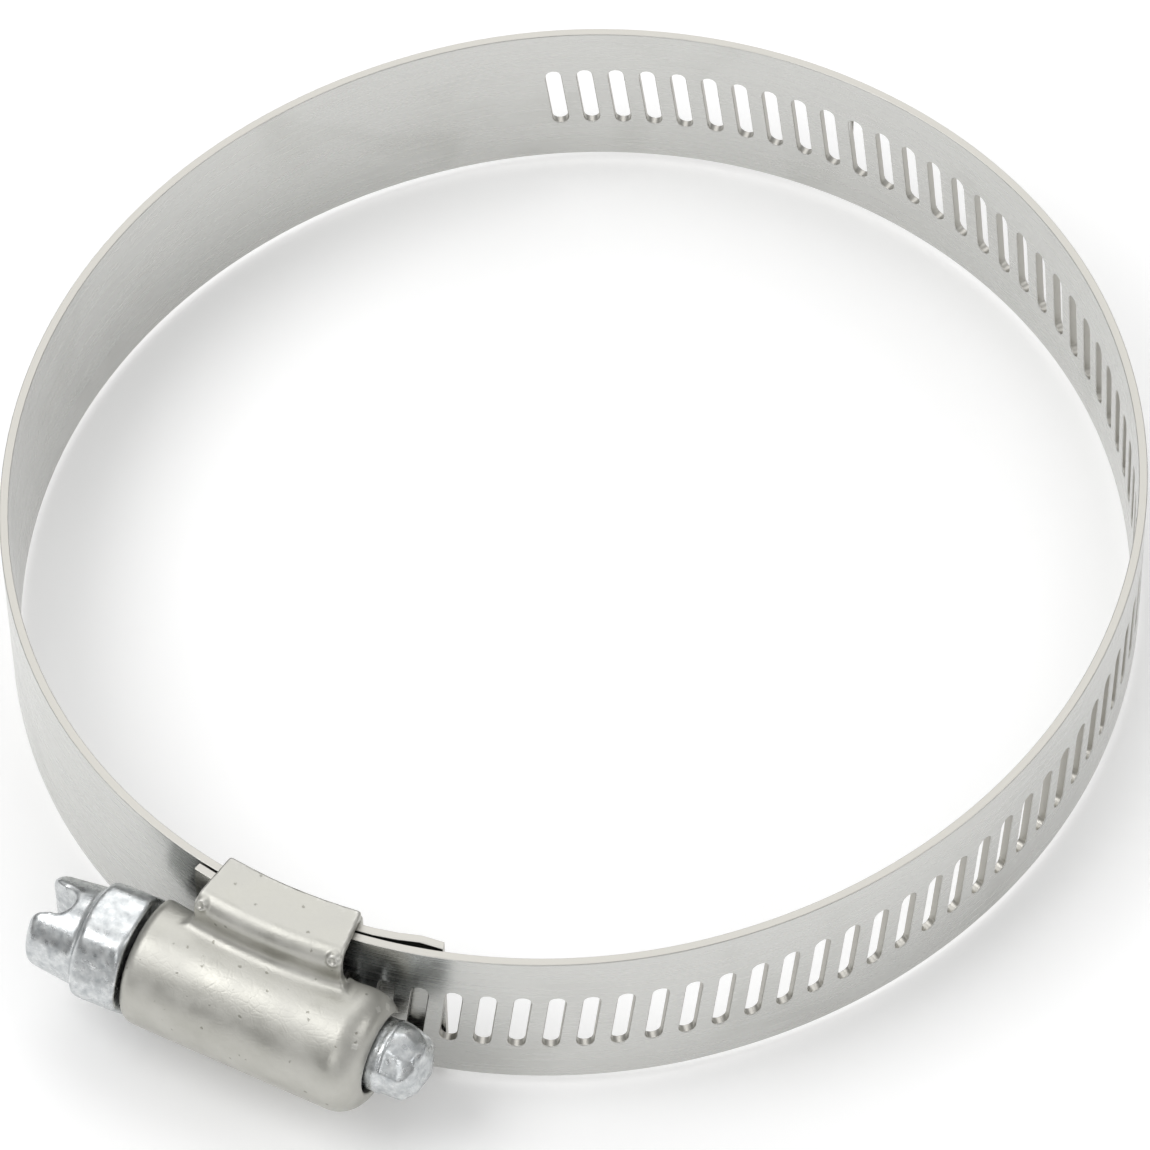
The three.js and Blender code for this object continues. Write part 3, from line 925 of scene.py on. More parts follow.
@dataclass
class Band:
    """The stainless strip: slotted over most of its length, and held at both ends by the housing.

    It is one strip. It is drawn as lengths, one for each of the frame's links. Each length
    starts and ends a little past a hinge.
    """

    layout: Layout
    finish: bpy.types.Material
    slot_length: float = 5.5
    slot_width: float = 1.1
    slots_per_link: int = 5
    slots_past_hinge: int = 2
    fixed_slotted: int = 2
    fixed_plain: int = 8
    free_links: int = 8
    tail_plain: float = 1.7
    tail_past_deg: float = 0.4
    hinge_deg: float = 261.0
    bend_deg: float = 286.4
    tip_deg: float = 288.6
    bow: float = 0.25
    soften: float = 0.07
    side_steps: int = 8
    cap_steps: int = 6
    plain_step: float = 1.6
    tab_reach: tuple[float, float] = (-0.45, 0.3)
    tab_inset: tuple[float, float] = (0.15, 0.06)

    @property
    def half_width(self) -> float:
        """Half of the strip's width."""
        return self.layout.band_width / 2

    @property
    def half_thick(self) -> float:
        """Half of the strip's thickness."""
        return self.layout.band_thick / 2

    def rows(self) -> list[float]:
        """Places the strip's rows of vertices.

        Returns:
            Their heights, from low to high.
        """
        straight, drop = (self.slot_length - self.slot_width) / 2, self.layout.slot_drop
        inner = [-straight + 2 * straight * k / self.side_steps - drop for k in range(1, self.side_steps)]
        return [-(self.half_width - self.soften), *inner, self.half_width - self.soften]

    def section(self) -> list[tuple[float, float, tuple[float, float, float], float]]:
        """Draws the strip's cross-section as a closed line.

        Returns:
            Height, lift, normal and cut edge of each point.
        """
        wide, thick, soft = self.half_width, self.half_thick, self.soften
        up = [(z, thick, (0, 0, 1), 0.0) for z in self.rows()]
        down = [(z, -thick, (0, 0, -1), 0.0) for z in reversed(self.rows())]
        top = [(wide, thick - soft, (0, 1, 0), 1.0), (wide, soft - thick, (0, 1, 0), 1.0)]
        low = [(-wide, soft - thick, (0, -1, 0), 1.0), (-wide, thick - soft, (0, -1, 0), 1.0)]
        return [*up, *top, *down, *low]

    def plain(self, strip: StripBuilder, start: float, end: float) -> None:
        """Adds a stretch with no slots.

        Args:
            strip: Where it goes.
            start: s where it starts.
            end: s where it ends.
        """
        steps = max(1, math.ceil((end - start) / self.plain_step))
        places = [start + (end - start) * i / steps for i in range(steps + 1)]
        loops = [[strip.vertex(s, *part) for part in self.section()] for s in places]
        for near, far in zip(loops, loops[1:]):
            for p, _ in enumerate(near):
                q = (p + 1) % len(near)
                strip.face(near[p], far[p], far[q], near[q])

    def outline(self, grow: float) -> list[tuple[float, float, float, float]]:
        """Draws the slot's outline as a closed line.

        Args:
            grow: How far outside the slot it runs.

        Returns:
            Place along the strip, height and the direction away from the slot, for each point.
        """
        straight, radius = (self.slot_length - self.slot_width) / 2, self.slot_width / 2 + grow
        sides = [-straight + 2 * straight * k / self.side_steps for k in range(self.side_steps + 1)]
        raw = [(radius, z, 1.0, 0.0) for z in sides]
        for k in range(1, self.cap_steps):
            a = math.pi * k / self.cap_steps
            raw.append((radius * math.cos(a), straight + radius * math.sin(a), math.cos(a), math.sin(a)))
        raw += [(-x, -z, -nx, -nz) for x, z, nx, nz in raw]
        a, drop = math.radians(self.layout.slot_lean), self.layout.slot_drop
        c, s = math.cos(a), math.sin(a)
        return [(x * c + z * s, z * c - x * s - drop, nx * c + nz * s, nz * c - nx * s) for x, z, nx, nz in raw]

    def ring(
        self, strip: StripBuilder, middle: float, points: list[tuple[float, ...]], lift: float, wall: bool
    ) -> list[int]:
        """Adds one ring of vertices round a slot.

        Args:
            strip: Where it goes.
            middle: s of the slot's middle.
            points: The ring's points, and on a wall the direction away from the slot too.
            lift: Distance from the strip's middle line.
            wall: Whether it is on the slot's wall, and not on a rolled face.

        Returns:
            The vertices' numbers.
        """
        mirror, made = strip.half.turn, []
        for x, z, *away in points:
            facing = (-away[0] * mirror, -away[1], 0.0) if wall else (0.0, 0.0, math.copysign(1.0, lift))
            made.append(strip.vertex(middle + x * mirror, z, lift, facing, 1.0 if wall else 0.0))
        return made

    def lip(self, strip: StripBuilder, places: list[float], sign: int) -> None:
        """Adds one of the strip's long edges beside a slot.

        Args:
            strip: Where it goes.
            places: s of each of its steps.
            sign: 1 for the upper edge, -1 for the lower one.
        """
        wide, thick, soft = self.half_width, self.half_thick, self.soften
        line = [(wide - soft, thick, (0, 0, 1), 0.0), (wide, thick - soft, (0, 1, 0), 1.0)]
        line += [(wide, soft - thick, (0, 1, 0), 1.0), (wide - soft, -thick, (0, 0, -1), 0.0)]
        line = [(z * sign, lift, (0, n[1] * sign, n[2]), cut) for z, lift, n, cut in line]
        loops = [[strip.vertex(s, z, lift, n, cut) for z, lift, n, cut in line] for s in places]
        for near, far in zip(loops, loops[1:]):
            for p in range(len(line) - 1):
                strip.face(*(near[p], far[p], far[p + 1], near[p + 1])[::sign])

    def slotted(self, strip: StripBuilder, index: int) -> None:
        """Adds one pitch of strip with its slot.

        Args:
            strip: Where it goes.
            index: Number of the slot, counted from the opening.
        """
        pitch, thick, soft = self.layout.pitch, self.half_thick, self.soften
        middle, order = (index + 0.5) * pitch, strip.half.turn
        rows, steps = self.rows(), self.cap_steps
        rim = [(pitch / 2, z) for z in rows]
        rim += [(pitch / 2 - pitch * k / steps, rows[-1]) for k in range(1, steps)]
        rim += [(-pitch / 2, z) for z in reversed(rows)]
        rim += [(-pitch / 2 + pitch * k / steps, rows[0]) for k in range(1, steps)]
        grown, edge = self.outline(soft), self.outline(0.0)
        rings = [
            self.ring(strip, middle, rim, thick, False),
            self.ring(strip, middle, grown, thick, False),
            self.ring(strip, middle, edge, thick - soft, True),
            self.ring(strip, middle, edge, soft - thick, True),
            self.ring(strip, middle, grown, -thick, False),
            self.ring(strip, middle, rim, -thick, False),
        ]
        for outer, inner in zip(rings, rings[1:]):
            for k, _ in enumerate(outer):
                n = (k + 1) % len(outer)
                strip.face(*(outer[k], outer[n], inner[n], inner[k])[::order])
        places = [middle - pitch / 2 + pitch * k / steps for k in range(steps + 1)]
        for sign in (1, -1):
            self.lip(strip, places, sign)

    def cap(self, strip: StripBuilder, s: float, facing: int) -> None:
        """Closes the strip's end.

        Args:
            strip: Where it goes.
            s: Place of the end.
            facing: 1 where the end faces growing s, -1 where it faces the other way.
        """
        line = [strip.vertex(s, z, lift, (float(facing), 0, 0), 1.0) for z, lift, _, _ in self.section()]
        strip.face(*(line if facing < 0 else line[::-1]))

    def build(self, strip: StripBuilder, start: float, end: float, slots: range) -> None:
        """Builds a length of strip with both ends closed.

        Args:
            strip: Where it goes.
            start: s where it starts.
            end: s where it ends.
            slots: Numbers of its slots. The rest of it is plain.
        """
        pitch, here, least = self.layout.pitch, start, 1e-6
        for index in slots:
            if index * pitch > here + least:
                self.plain(strip, here, index * pitch)
            self.slotted(strip, index)
            here = (index + 1) * pitch
        if end > here + least:
            self.plain(strip, here, end)
        self.cap(strip, start, -1)
        self.cap(strip, end, 1)

    def tab(self, strip: StripBuilder) -> None:
        """Adds a thin tongue inside the strip that bridges the opening as the loop bends.

        Args:
            strip: The length at the opening.
        """
        wide, thick = self.half_width - self.tab_inset[0], self.half_thick - self.tab_inset[1]
        corners = [(-wide, thick), (wide, thick), (wide, -thick), (-wide, -thick)]
        sides = [(0, 0, 1), (0, 1, 0), (0, 0, -1), (0, -1, 0)]
        for p, side in enumerate(sides):
            ends = corners[p], corners[(p + 1) % 4]
            near, far = ([strip.vertex(s, z, lift, side, 0.0) for z, lift in ends] for s in self.tab_reach)
            strip.face(near[0], far[0], far[1], near[1])

    def curl(self, s: Array) -> Array:
        """Bows the fixed end's tongue inwards and turns it back up at its tip.

        Args:
            s: Places along the strip.

        Returns:
            The lift there.
        """
        half = self.layout.fixed
        mouth = half.length_to(360 + self.layout.strap_tip)
        bend, tip = half.length_to(self.bend_deg), half.length_to(self.tip_deg)
        down = -self.bow * np.clip((s - mouth) / (bend - mouth), 0, 1) ** 2
        return down + self.bow * np.clip((s - bend) / (tip - bend), 0, 1)

    def joined(
        self,
        name: str,
        strip: StripBuilder,
        hinge: float,
        before: float,
        bow: Callable[[Array], Array] | None = None,
    ) -> bpy.types.Object:
        """Finishes a length of strip as an object.

        Args:
            name: Name of the piece.
            strip: Its cells.
            hinge: s of the hinge.
            before: A distance before the hinge.
            bow: Extra lift by place along the strip.

        Returns:
            The piece.
        """
        piece = strip.finish(bow).to_object(name, self.finish)
        ends = np.array([hinge - before, hinge + self.slots_past_hinge * self.layout.pitch])
        points, _, _ = strip.half.place(ends, np.zeros(2), np.zeros(2))
        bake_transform(piece)
        return piece

    def make(self) -> list[bpy.types.Object]:
        """Builds every length of the strip."""
        return [*self.make_fixed(), *self.make_free()]

    def make_fixed(self) -> list[bpy.types.Object]:
        """Builds the fixed end's half of the loop.

        Returns:
            The pieces, from the opening to the housing.
        """
        half, pitch = self.layout.fixed, self.layout.pitch
        per, past = self.slots_per_link, self.slots_past_hinge
        count, slots_end = self.fixed_slotted + self.fixed_plain, self.fixed_slotted * per
        slotted_end = self.fixed_slotted * (per * pitch)
        short = (half.length_to(self.hinge_deg) - slotted_end) / self.fixed_plain
        hinges = [per * pitch * (n + 1) for n in range(self.fixed_slotted)]
        hinges += [slotted_end + short * (n + 1) for n in range(self.fixed_plain)]
        cuts = [0.0, (per + past) * pitch, *[(a + b) / 2 for a, b in zip(hinges[1:], hinges[2:])]]
        cuts.append(half.length_to(self.tip_deg))
        made = []
        for n in range(count):
            strip = StripBuilder(half, self.layout.centre)
            slots = range(0, per + past) if n == 0 else range(per + past, slots_end) if n == 1 else range(0)
            self.build(strip, cuts[n], cuts[n + 1], slots)
            if n == 0:
                self.tab(strip)
            link, ends_here = f"fixed_link_{n + 1:02d}", n == count - 1
            name = "band_fixed_end_length" if ends_here else f"band_fixed_length_{n + 1:02d}"
            before = min(past * pitch, hinges[n] - cuts[n])
            bow = self.curl if ends_here else None
            piece = self.joined(name, strip, hinges[n], before, bow)
            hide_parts(link, *(["band_fixed_end"] if ends_here else []))
            made.append(piece)
        return made

    def make_free(self) -> list[bpy.types.Object]:
        """Builds the half of the loop that the screw draws in.

        Returns:
            The pieces, from the opening to the tail.
        """
        half, pitch = self.layout.free, self.layout.pitch
        per, past = self.slots_per_link, self.slots_past_hinge
        tail = half.length_to(self.hinge_deg + self.tail_past_deg - 360)
        last = math.floor((tail - self.tail_plain) / pitch - 0.5)
        made = []
        for n in range(self.free_links):
            strip = StripBuilder(half, self.layout.centre)
            link, ends_here = f"free_link_{n + 1:02d}", n == self.free_links - 1
            first = 0 if n == 0 else n * per + past
            stop = last + 1 if ends_here else (n + 1) * per + past
            self.build(strip, first * pitch, tail if ends_here else stop * pitch, range(first, stop))
            name = "band_free_end_length" if ends_here else f"band_free_length_{n + 1:02d}"
            piece = self.joined(name, strip, (n + 1) * per * pitch, past * pitch)
            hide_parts(link, *(["band_free_end"] if ends_here else []))
            made.append(piece)
        return made


@dataclass
class Housing:
    """The pressed housing: a barrel over the screw, blended into a strap round the band's edges."""

    layout: Layout
    finish: bpy.types.Material
    sheet: float = 0.7
    strap_inner: float = 35.36
    strap_outer: float = 39.53
    half_height: float = 7.2
    roll: float = 1.3
    seam: float = 1.1
    barrel_radius: float = 4.45
    bore_radius: float = 3.8
    barrel_ends: tuple[float, float] = (-7.2, 10.0)
    barrel_rounds: tuple[float, float] = (0.9, 2.0)
    barrel_wall: float = 0.65
    barrel_tilt: float = 1.3
    barrel_in: float = 0.04
    neck_radius: float = 2.75
    band_way: float = 38.43
    way_round: float = 0.15
    bore_round: float = 0.4
    mouth_clear: float = 0.15
    stake_degrees: tuple[float, float] = (-95.2, -81.2)
    stake_radius: float = 0.5
    stake_round: float = 0.2
    stake_in: tuple[float, float] = (0.3, 0.45)
    stake_lean: float = 0.6
    dimple_out: float = 0.45
    dimple_radius: float = 0.3
    dimple_round: float = 0.15
    soften: float = 0.22
    step: float = 0.15

    def strap_section(self, place: Array, outer: float, height: float, roll: float) -> Array:
        """The strap's section swept round the arch's centre, open towards the centre.

        Args:
            place: Points from the arch's centre.
            outer: Radius of its outer wall.
            height: Half of its height.
            roll: Radius of its outer corners.

        Returns:
            Distances to it.
        """
        out = np.hypot(place[:, 0], place[:, 1]) - outer + roll
        up = np.abs(place[:, 2]) - height + roll
        outside = np.hypot(np.maximum(out, 0), np.maximum(up, 0))
        return outside + np.minimum(np.maximum(out, up), 0) - roll

    def along(self, place: Array, out: float, tilt: float) -> Array:
        """Points in the frame of an axis that leans in towards the band.

        Args:
            place: Points from the arch's centre.
            out: How far the axis stands out.
            tilt: Its lean in degrees.

        Returns:
            Points by place along the axis and across it.
        """
        a = math.radians(tilt)
        c, s = math.cos(a), math.sin(a)
        x, y = place[:, 0], place[:, 1] + out
        return np.stack([x * c + y * s, y * c - x * s, place[:, 2]], axis=1)

    def stake(self, place: Array, outside: Array) -> Array:
        """Raises a curl with a dimple in it where the punch closed each end of the strap's rolled edge.

        Args:
            place: Points from the arch's centre.
            outside: Distances to the housing's outside.

        Returns:
            Distances to the outside with its curls.
        """
        reach = self.strap_outer - self.stake_in[0] * self.roll
        height = self.half_height - self.stake_in[1] * self.roll
        for degrees in self.stake_degrees:
            a = math.radians(degrees)
            way = np.array([math.cos(a), math.sin(a), self.stake_lean])
            spot = np.array([math.cos(a) * reach, math.sin(a) * reach, height])
            curl = np.linalg.norm(place - spot, axis=1) - self.stake_radius
            dimple = np.linalg.norm(place - spot - way * self.dimple_out, axis=1) - self.dimple_radius
            raised = round_union(outside, curl, self.stake_round)
            outside = round_common(raised, -dimple, self.dimple_round)
        return outside

    def hollow(self, place: Array, axis: Array) -> Array:
        """The space inside the housing: the strap's, the barrel's, and the way between them.

        Args:
            place: Points from the arch's centre.
            axis: The same points along and across the barrel's axis.

        Returns:
            Distances to it.
        """
        head, tip = self.layout.strap_head, self.layout.strap_tip
        start, end = self.barrel_ends
        first, last = self.barrel_rounds
        wall, sheet = self.barrel_wall, self.sheet
        bore = drum(axis, self.bore_radius, (start + wall, end - wall), (first - wall, last - wall))
        height = self.half_height - sheet
        cavity = self.strap_section(place, self.strap_outer - sheet, height, self.roll - sheet)
        cavity = np.maximum(cavity, wedge(place, head, tip, self.mouth_clear))
        radius = np.hypot(place[:, 0], place[:, 1])
        way = np.maximum(radius - self.band_way, np.abs(place[:, 2]) - height)
        return round_union(round_union(cavity, bore, self.bore_round), way, self.way_round)

    def shape(self, place: Array) -> Array:
        """The whole housing.

        Args:
            place: Points from the arch's centre.

        Returns:
            Distances to it.
        """
        radius = np.hypot(place[:, 0], place[:, 1])
        strap = self.strap_section(place, self.strap_outer, self.half_height, self.roll)
        strap = round_common(strap, self.strap_inner - radius, self.soften)
        cut = wedge(place, self.layout.strap_head, self.layout.strap_tip)
        strap = round_common(strap, cut, self.soften)
        axis = self.along(place, self.layout.screw_out - self.barrel_in, self.barrel_tilt)
        barrel = drum(axis, self.barrel_radius, self.barrel_ends, self.barrel_rounds)
        outside = self.stake(place, round_union(strap, barrel, self.seam))
        screw = self.along(place, self.layout.screw_out, self.layout.screw_tilt)
        neck = np.hypot(screw[:, 1], screw[:, 2]) - self.neck_radius
        return round_common(outside, -np.minimum(self.hollow(place, axis), neck), self.soften)

    def make(self) -> bpy.types.Object:
        """Builds the housing.

        Returns:
            The piece.
        """
        low = (-8.2, -self.layout.screw_out - 5, -7.6)
        high = (11, -self.strap_inner + 1.4, 7.6)
        net = SkinNet(low, high, self.step)
        data = self.layout.to_frame(net.build(self.shape), self.layout.arch)
        piece = data.to_object("housing_shell", self.finish)
        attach(piece, Body.HOUSING.value)
        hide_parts("housing")
        return piece


@dataclass
class Saddle:
    """The plate that closes the housing under the band, with two lugs in the band's windows."""

    layout: Layout
    finish: bpy.types.Material
    thick: float = 0.5
    fit: float = 0.15
    lug_width: float = 3.0
    lug_length: float = 1.6
    lug_short: float = 0.12
    lug_root: float = 0.3
    lug_degrees: tuple[float, float] = (-94.0, -83.0)
    soften: float = 0.16
    step: float = 0.13

    def shape(self, place: Array) -> Array:
        """The whole saddle.

        Args:
            place: Points from the arch's centre.

        Returns:
            Distances to it.
        """
        half = self.layout.band_thick / 2
        outer = self.layout.fixed.end_radius - half - self.fit
        radius = np.hypot(place[:, 0], place[:, 1])
        plate = round_common(radius - outer, outer - self.thick - radius, self.soften)
        plate = round_common(plate, np.abs(place[:, 2]) - self.layout.band_width / 2, self.soften)
        made = round_common(plate, wedge(place, self.layout.strap_head, self.layout.strap_tip), self.soften)
        top = outer + self.fit + 2 * half - self.lug_short
        for degrees in self.lug_degrees:
            a = math.radians(degrees)
            side = np.abs(-place[:, 0] * math.sin(a) + place[:, 1] * math.cos(a)) - self.lug_length / 2
            tall = np.maximum(radius - top, outer - self.lug_root - radius)
            lug = np.maximum(np.maximum(side, np.abs(place[:, 2]) - self.lug_width / 2), tall)
            made = round_union(made, lug, self.soften)
        return made

    def make(self) -> bpy.types.Object:
        """Builds the saddle.

        Returns:
            The piece.
        """
        net = SkinNet((-4.2, -37, -6.7), (6.6, -34, 6.7), self.step)
        data = self.layout.to_frame(net.build(self.shape), self.layout.arch)
        piece = data.to_object("saddle_plate", self.finish)
        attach(piece, Body.HOUSING.value)
        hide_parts("saddle")
        return piece


@dataclass
class WormScrew:
    """The screw: two ears with a wide slot, a hexagon, the worm thread and an upset tip."""

    layout: Layout
    finish: bpy.types.Material
    root_radius: float = 2.45
    crest_width: float = 0.45
    root_width: float = 1.05
    thread_ends: tuple[float, float] = (-5.2, 8.2)
    runout: float = 0.8
    thread_round: float = 0.2
    core_past: tuple[float, float] = (1.0, 0.3)
    flats: float = 7.94
    flats_round: float = 0.25
    corner_cut: float = 0.33
    corner_deg: float = 1.5
    collar: tuple[float, float] = (-10.9, -7.5)
    collar_round: float = 0.45
    ear_end: float = -14.7
    ear_radius: tuple[float, float] = (3.05, 3.45)
    ear_round: float = 0.7
    ear_past: float = 0.6
    slot_width: float = 2.0
    slot_depth: float = 2.3
    slot_flare: tuple[float, float] = (0.35, 1.2)
    slot_round: float = 0.45
    tip: tuple[float, float] = (10.3, 13.3)
    tip_radius: float = 2.5
    tip_rounds: tuple[float, float] = (0.35, 1.5)
    tip_middle: float = 1.0
    blows: int = 130
    blow_depths: tuple[float, float] = (0.08, 0.045)
    blow_kinds: int = 5
    blow_round: float = 0.06
    fillets: tuple[float, float, float] = (0.3, 0.5, 0.25)
    soften: float = 0.3
    step: float = 0.13
    seed: int = 7
    facets: Array = field(init=False)

    def __post_init__(self) -> None:
        """Chooses the directions of the flats that the upsetting blows leave on the tip."""
        rng = np.random.default_rng(self.seed)
        made = rng.normal(size=(self.blows, 3))
        made[:, 0] = np.abs(made[:, 0]) * 0.9
        self.facets = made / np.linalg.norm(made, axis=1)[:, None]

    def phase(self) -> float:
        """Finds where the thread faces the band, so that its ridges lie in the slots.

        Returns:
            A place on the screw's axis where a ridge faces the band.
        """
        half, tilt = self.layout.free, self.layout.screw_tilt
        mesh = half.length_to(tilt - 90)
        slot = (round(mesh / self.layout.pitch - 0.5) + 0.5) * self.layout.pitch
        at = half.place(np.array([slot]), np.zeros(1), np.zeros(1))[0][0]
        a = math.radians(tilt)
        y = at[1] + self.layout.spacing + self.layout.screw_out
        lean = self.layout.slot_drop * math.tan(math.radians(self.layout.slot_lean))
        return float(at[0] * math.cos(a) + y * math.sin(a)) + lean

    def thread(self, place: Array) -> Array:
        """The worm and its core.

        Args:
            place: Points in the screw's frame.

        Returns:
            Distances to it.
        """
        across = np.hypot(place[:, 1], place[:, 2])
        pitch, crest = self.layout.pitch, self.layout.crest_radius
        lead = self.phase() + pitch * np.arctan2(place[:, 2], place[:, 1]) / (2 * math.pi)
        off = np.abs((place[:, 0] - lead + pitch / 2) % pitch - pitch / 2)
        share = np.clip((crest - across) / (crest - self.root_radius), 0, 1.2)
        width = (self.crest_width + (self.root_width - self.crest_width) * share) / 2
        start, end = self.thread_ends
        past = np.abs(place[:, 0] - (start + end) / 2) - (end - start) / 2
        ridge = across - crest + np.maximum(past + self.runout, 0)
        ridge = np.maximum(np.maximum(ridge, off - width), past)
        low, high = self.collar[1] - self.core_past[0], self.tip[0] + self.core_past[1]
        core = np.maximum(across - self.root_radius, np.maximum(low - place[:, 0], place[:, 0] - high))
        return round_union(core, ridge, self.thread_round)

    def hexagon(self, place: Array) -> Array:
        """The hexagon, with its corners turned down.

        Args:
            place: Points in the screw's frame.

        Returns:
            Distances to it.
        """
        flats = np.full(len(place), -1e3)
        for k in range(6):
            a = math.radians(self.corner_deg + 30 + 60 * k)
            side = place[:, 1] * math.cos(a) + place[:, 2] * math.sin(a) - self.flats / 2
            flats = round_common(flats, side, self.flats_round)
        corner = self.flats / math.sqrt(3) - self.corner_cut
        rounds = (corner - self.ear_radius[1] - 0.1, self.collar_round)
        return round_common(flats, drum(place, corner, self.collar, rounds), self.soften)

    def ears(self, place: Array) -> Array:
        """The two ears, with the slot between them.

        Args:
            place: Points in the screw's frame.

        Returns:
            Distances to them.
        """
        across = np.hypot(place[:, 1], place[:, 2])
        share = (place[:, 0] - self.ear_end) / (self.collar[0] - self.ear_end)
        radius = self.ear_radius[0] + (self.ear_radius[1] - self.ear_radius[0]) * share
        cone = round_common(across - radius, self.ear_end - place[:, 0], self.ear_round)
        cone = np.maximum(cone, place[:, 0] - self.collar[0] - self.ear_past)
        half, (most, depth) = self.slot_width / 2, self.slot_flare
        low = np.maximum(place[:, 0] - (self.ear_end + self.slot_depth - half), 0)
        flare = most * np.clip((self.ear_end + depth - place[:, 0]) / depth, 0, 1)
        slot = np.hypot(low, place[:, 1]) - half - flare
        return round_common(cone, -slot, self.slot_round)

    def dome(self, place: Array) -> Array:
        """The upset tip, a dome with small flats beaten all over it.

        Args:
            place: Points in the screw's frame.

        Returns:
            Distances to it.
        """
        ball = drum(place, self.tip_radius, self.tip, self.tip_rounds)
        inner = place - [self.tip[0] + self.tip_middle, 0, 0]
        rounding = self.tip_rounds[1]
        high = self.tip[1] - self.tip[0] - self.tip_middle - rounding
        least, step = self.blow_depths
        for k, way in enumerate(self.facets):
            out = high * way[0] + (self.tip_radius - rounding) * math.hypot(way[1], way[2]) + rounding
            reach = out - least - step * (k % self.blow_kinds)
            ball = round_common(ball, inner @ way - reach, self.blow_round)
        return ball

    def shape(self, place: Array) -> Array:
        """The whole screw.

        Args:
            place: Points in the screw's frame.

        Returns:
            Distances to it.
        """
        made = self.thread(place)
        for part, fillet in zip((self.hexagon, self.ears, self.dome), self.fillets):
            made = round_union(made, part(place), fillet)
        return made

    def make(self) -> bpy.types.Object:
        """Builds the screw.

        Returns:
            The piece.
        """
        net = SkinNet((self.ear_end - 0.4, -4.6, -4.6), (self.tip[1] + 0.4, 4.6, 4.6), self.step)
        origin = self.layout.arch - [0, self.layout.screw_out, 0]
        data = self.layout.to_frame(net.build(self.shape), origin, self.layout.screw_tilt)
        piece = data.to_object("worm_screw", self.finish)
        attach(piece, Body.SCREW.value)
        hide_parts("screw")
        return piece


# ---------------------------------------------------------------- the studio


@dataclass(frozen=True)
class Panel:
    """A round soft light that faces the middle of the floor. Metres and watts."""

    name: str
    spot: tuple[float, float, float]
    size: float
    power: float

    def make(self) -> None:
        """Adds the light."""
        data = bpy.data.lights.new(self.name, "AREA")
        data.shape, data.size, data.energy = "DISK", self.size, self.power
        lamp = bpy.data.objects.new(self.name, data)
        lamp.location = self.spot
        lamp.rotation_euler = (-Vector(self.spot)).to_track_quat("-Z", "Y").to_euler()
        bpy.context.scene.collection.objects.link(lamp)


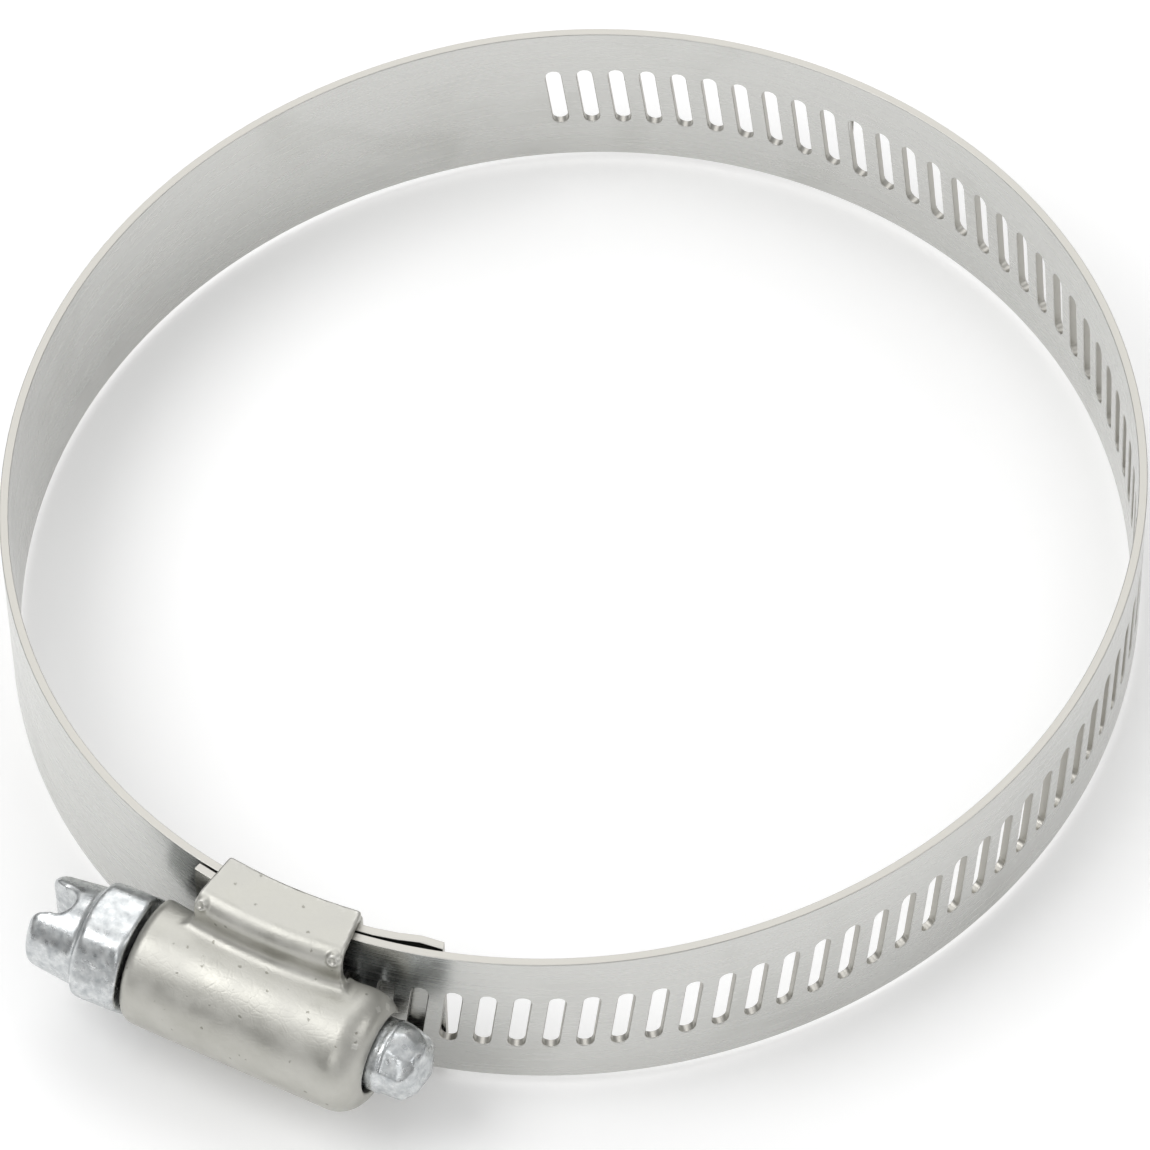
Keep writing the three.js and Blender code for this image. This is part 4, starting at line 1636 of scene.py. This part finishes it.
@dataclass
class Studio:
    """The pale floor, the soft lights and the camera."""

    layout: Layout
    focal: float = 250.43
    azimuth: float = 30.0
    elevation: float = 52.761337
    roll: float = 1.125918
    shift: tuple[float, float] = (0.0898565, 0.783760)
    distance: float = 544.668
    floor_size: float = 3.0
    floor_drop: float = 0.00002
    room_strength: float = 0.7
    room: tuple[tuple[float, str], ...] = ((0.0, "#7C7C7C"), (0.3, "#C4C4C4"), (1.0, "#FFFFFF"))
    panels: tuple[Panel, ...] = (
        Panel("panel_high", (-0.35, -0.3, 0.7), 0.5, 2.0),
        Panel("panel_right", (0.6, 0.1, 0.4), 0.35, 0.6),
        Panel("panel_front", (0.1, -0.7, 0.35), 0.35, 0.5),
        Panel("panel_back", (-0.24, 0.42, 0.64), 0.7, 1.5),
    )

    def make_floor(self) -> None:
        """Builds the floor and its paper finish."""
        mesh = bpy.data.meshes.new("floor")
        half, steps = self.floor_size / 2, 8
        line, row = np.linspace(-half, half, steps + 1), steps + 1
        points = [(x, y, -self.floor_drop) for y in line for x in line]
        starts = [j * row + i for j in range(steps) for i in range(steps)]
        mesh.from_pydata(points, [], [(k, k + 1, k + row + 1, k + row) for k in starts])
        mesh.materials.append(PAPER.build())
        floor = bpy.data.objects.new("floor", mesh)
        bpy.context.scene.collection.objects.link(floor)

    def make_lights(self) -> None:
        """Adds a white room, darker low down, and the soft panels."""
        world = bpy.data.worlds.new("soft_room")
        bpy.context.scene.world = world
        world.use_nodes = True
        tree = world.node_tree
        tree.nodes.clear()
        place = add_node(tree, "ShaderNodeTexCoord").outputs["Generated"]
        height = add_node(tree, "ShaderNodeSeparateXYZ", links={0: place}).outputs["Z"]
        ramp = add_node(tree, "ShaderNodeValToRGB", links={"Fac": height})
        set_ramp(ramp, [(at, linear(colour)) for at, colour in self.room])
        settings = {"Strength": self.room_strength}
        light = add_node(tree, "ShaderNodeBackground", settings, {"Color": ramp.outputs["Color"]})
        add_node(tree, "ShaderNodeOutputWorld", links={"Surface": light.outputs[0]})
        for panel in self.panels:
            panel.make()

    def make_camera(self) -> None:
        """Adds the camera, which looks down on the clamp from the front right."""
        turn, lift, roll = (math.radians(a) for a in (self.azimuth, self.elevation, self.roll))
        about = Matrix.Rotation(-turn, 3, "Z")
        c, s = math.cos(lift), math.sin(lift)
        tip = Matrix(((1, 0, 0), (0, s, c), (0, -c, s)))
        seen = Matrix.Rotation(roll, 3, "Z") @ tip @ about
        centre = Vector(self.layout.centre) * MM
        centre.z = (self.layout.centre[2] - self.layout.band_width / 2) * MM
        place = centre + seen.transposed() @ Vector((*self.shift, self.distance)) * MM
        data = bpy.data.cameras.new("camera")
        data.lens, data.sensor_width = self.focal, 36.0
        data.clip_start, data.clip_end = 0.01, 20.0
        camera = bpy.data.objects.new("camera", data)
        camera.matrix_world = Matrix.Translation(place) @ seen.transposed().to_4x4()
        bpy.context.scene.collection.objects.link(camera)
        bpy.context.scene.camera = camera

    def make(self) -> None:
        """Builds the whole studio."""
        self.make_floor()
        self.make_lights()
        self.make_camera()
        bpy.context.scene.view_settings.view_transform = "Standard"


def main() -> None:
    """Builds the clamp and its studio, and reports each piece."""
    logging.basicConfig(level=logging.INFO, format="%(name)s: %(message)s")
    layout, sheet = Layout(), SHEET.build()
    Studio(layout).make()
    pieces = Band(layout, STRIP.build()).make()
    pieces += [part.make() for part in (Housing(layout, sheet), Saddle(layout, sheet))]
    pieces.append(WormScrew(layout, PLATE.build()).make())
    for piece in pieces:
        LOG.info("%s: %d faces", piece.name, len(piece.data.polygons))


if __name__ == "__main__":
    main()
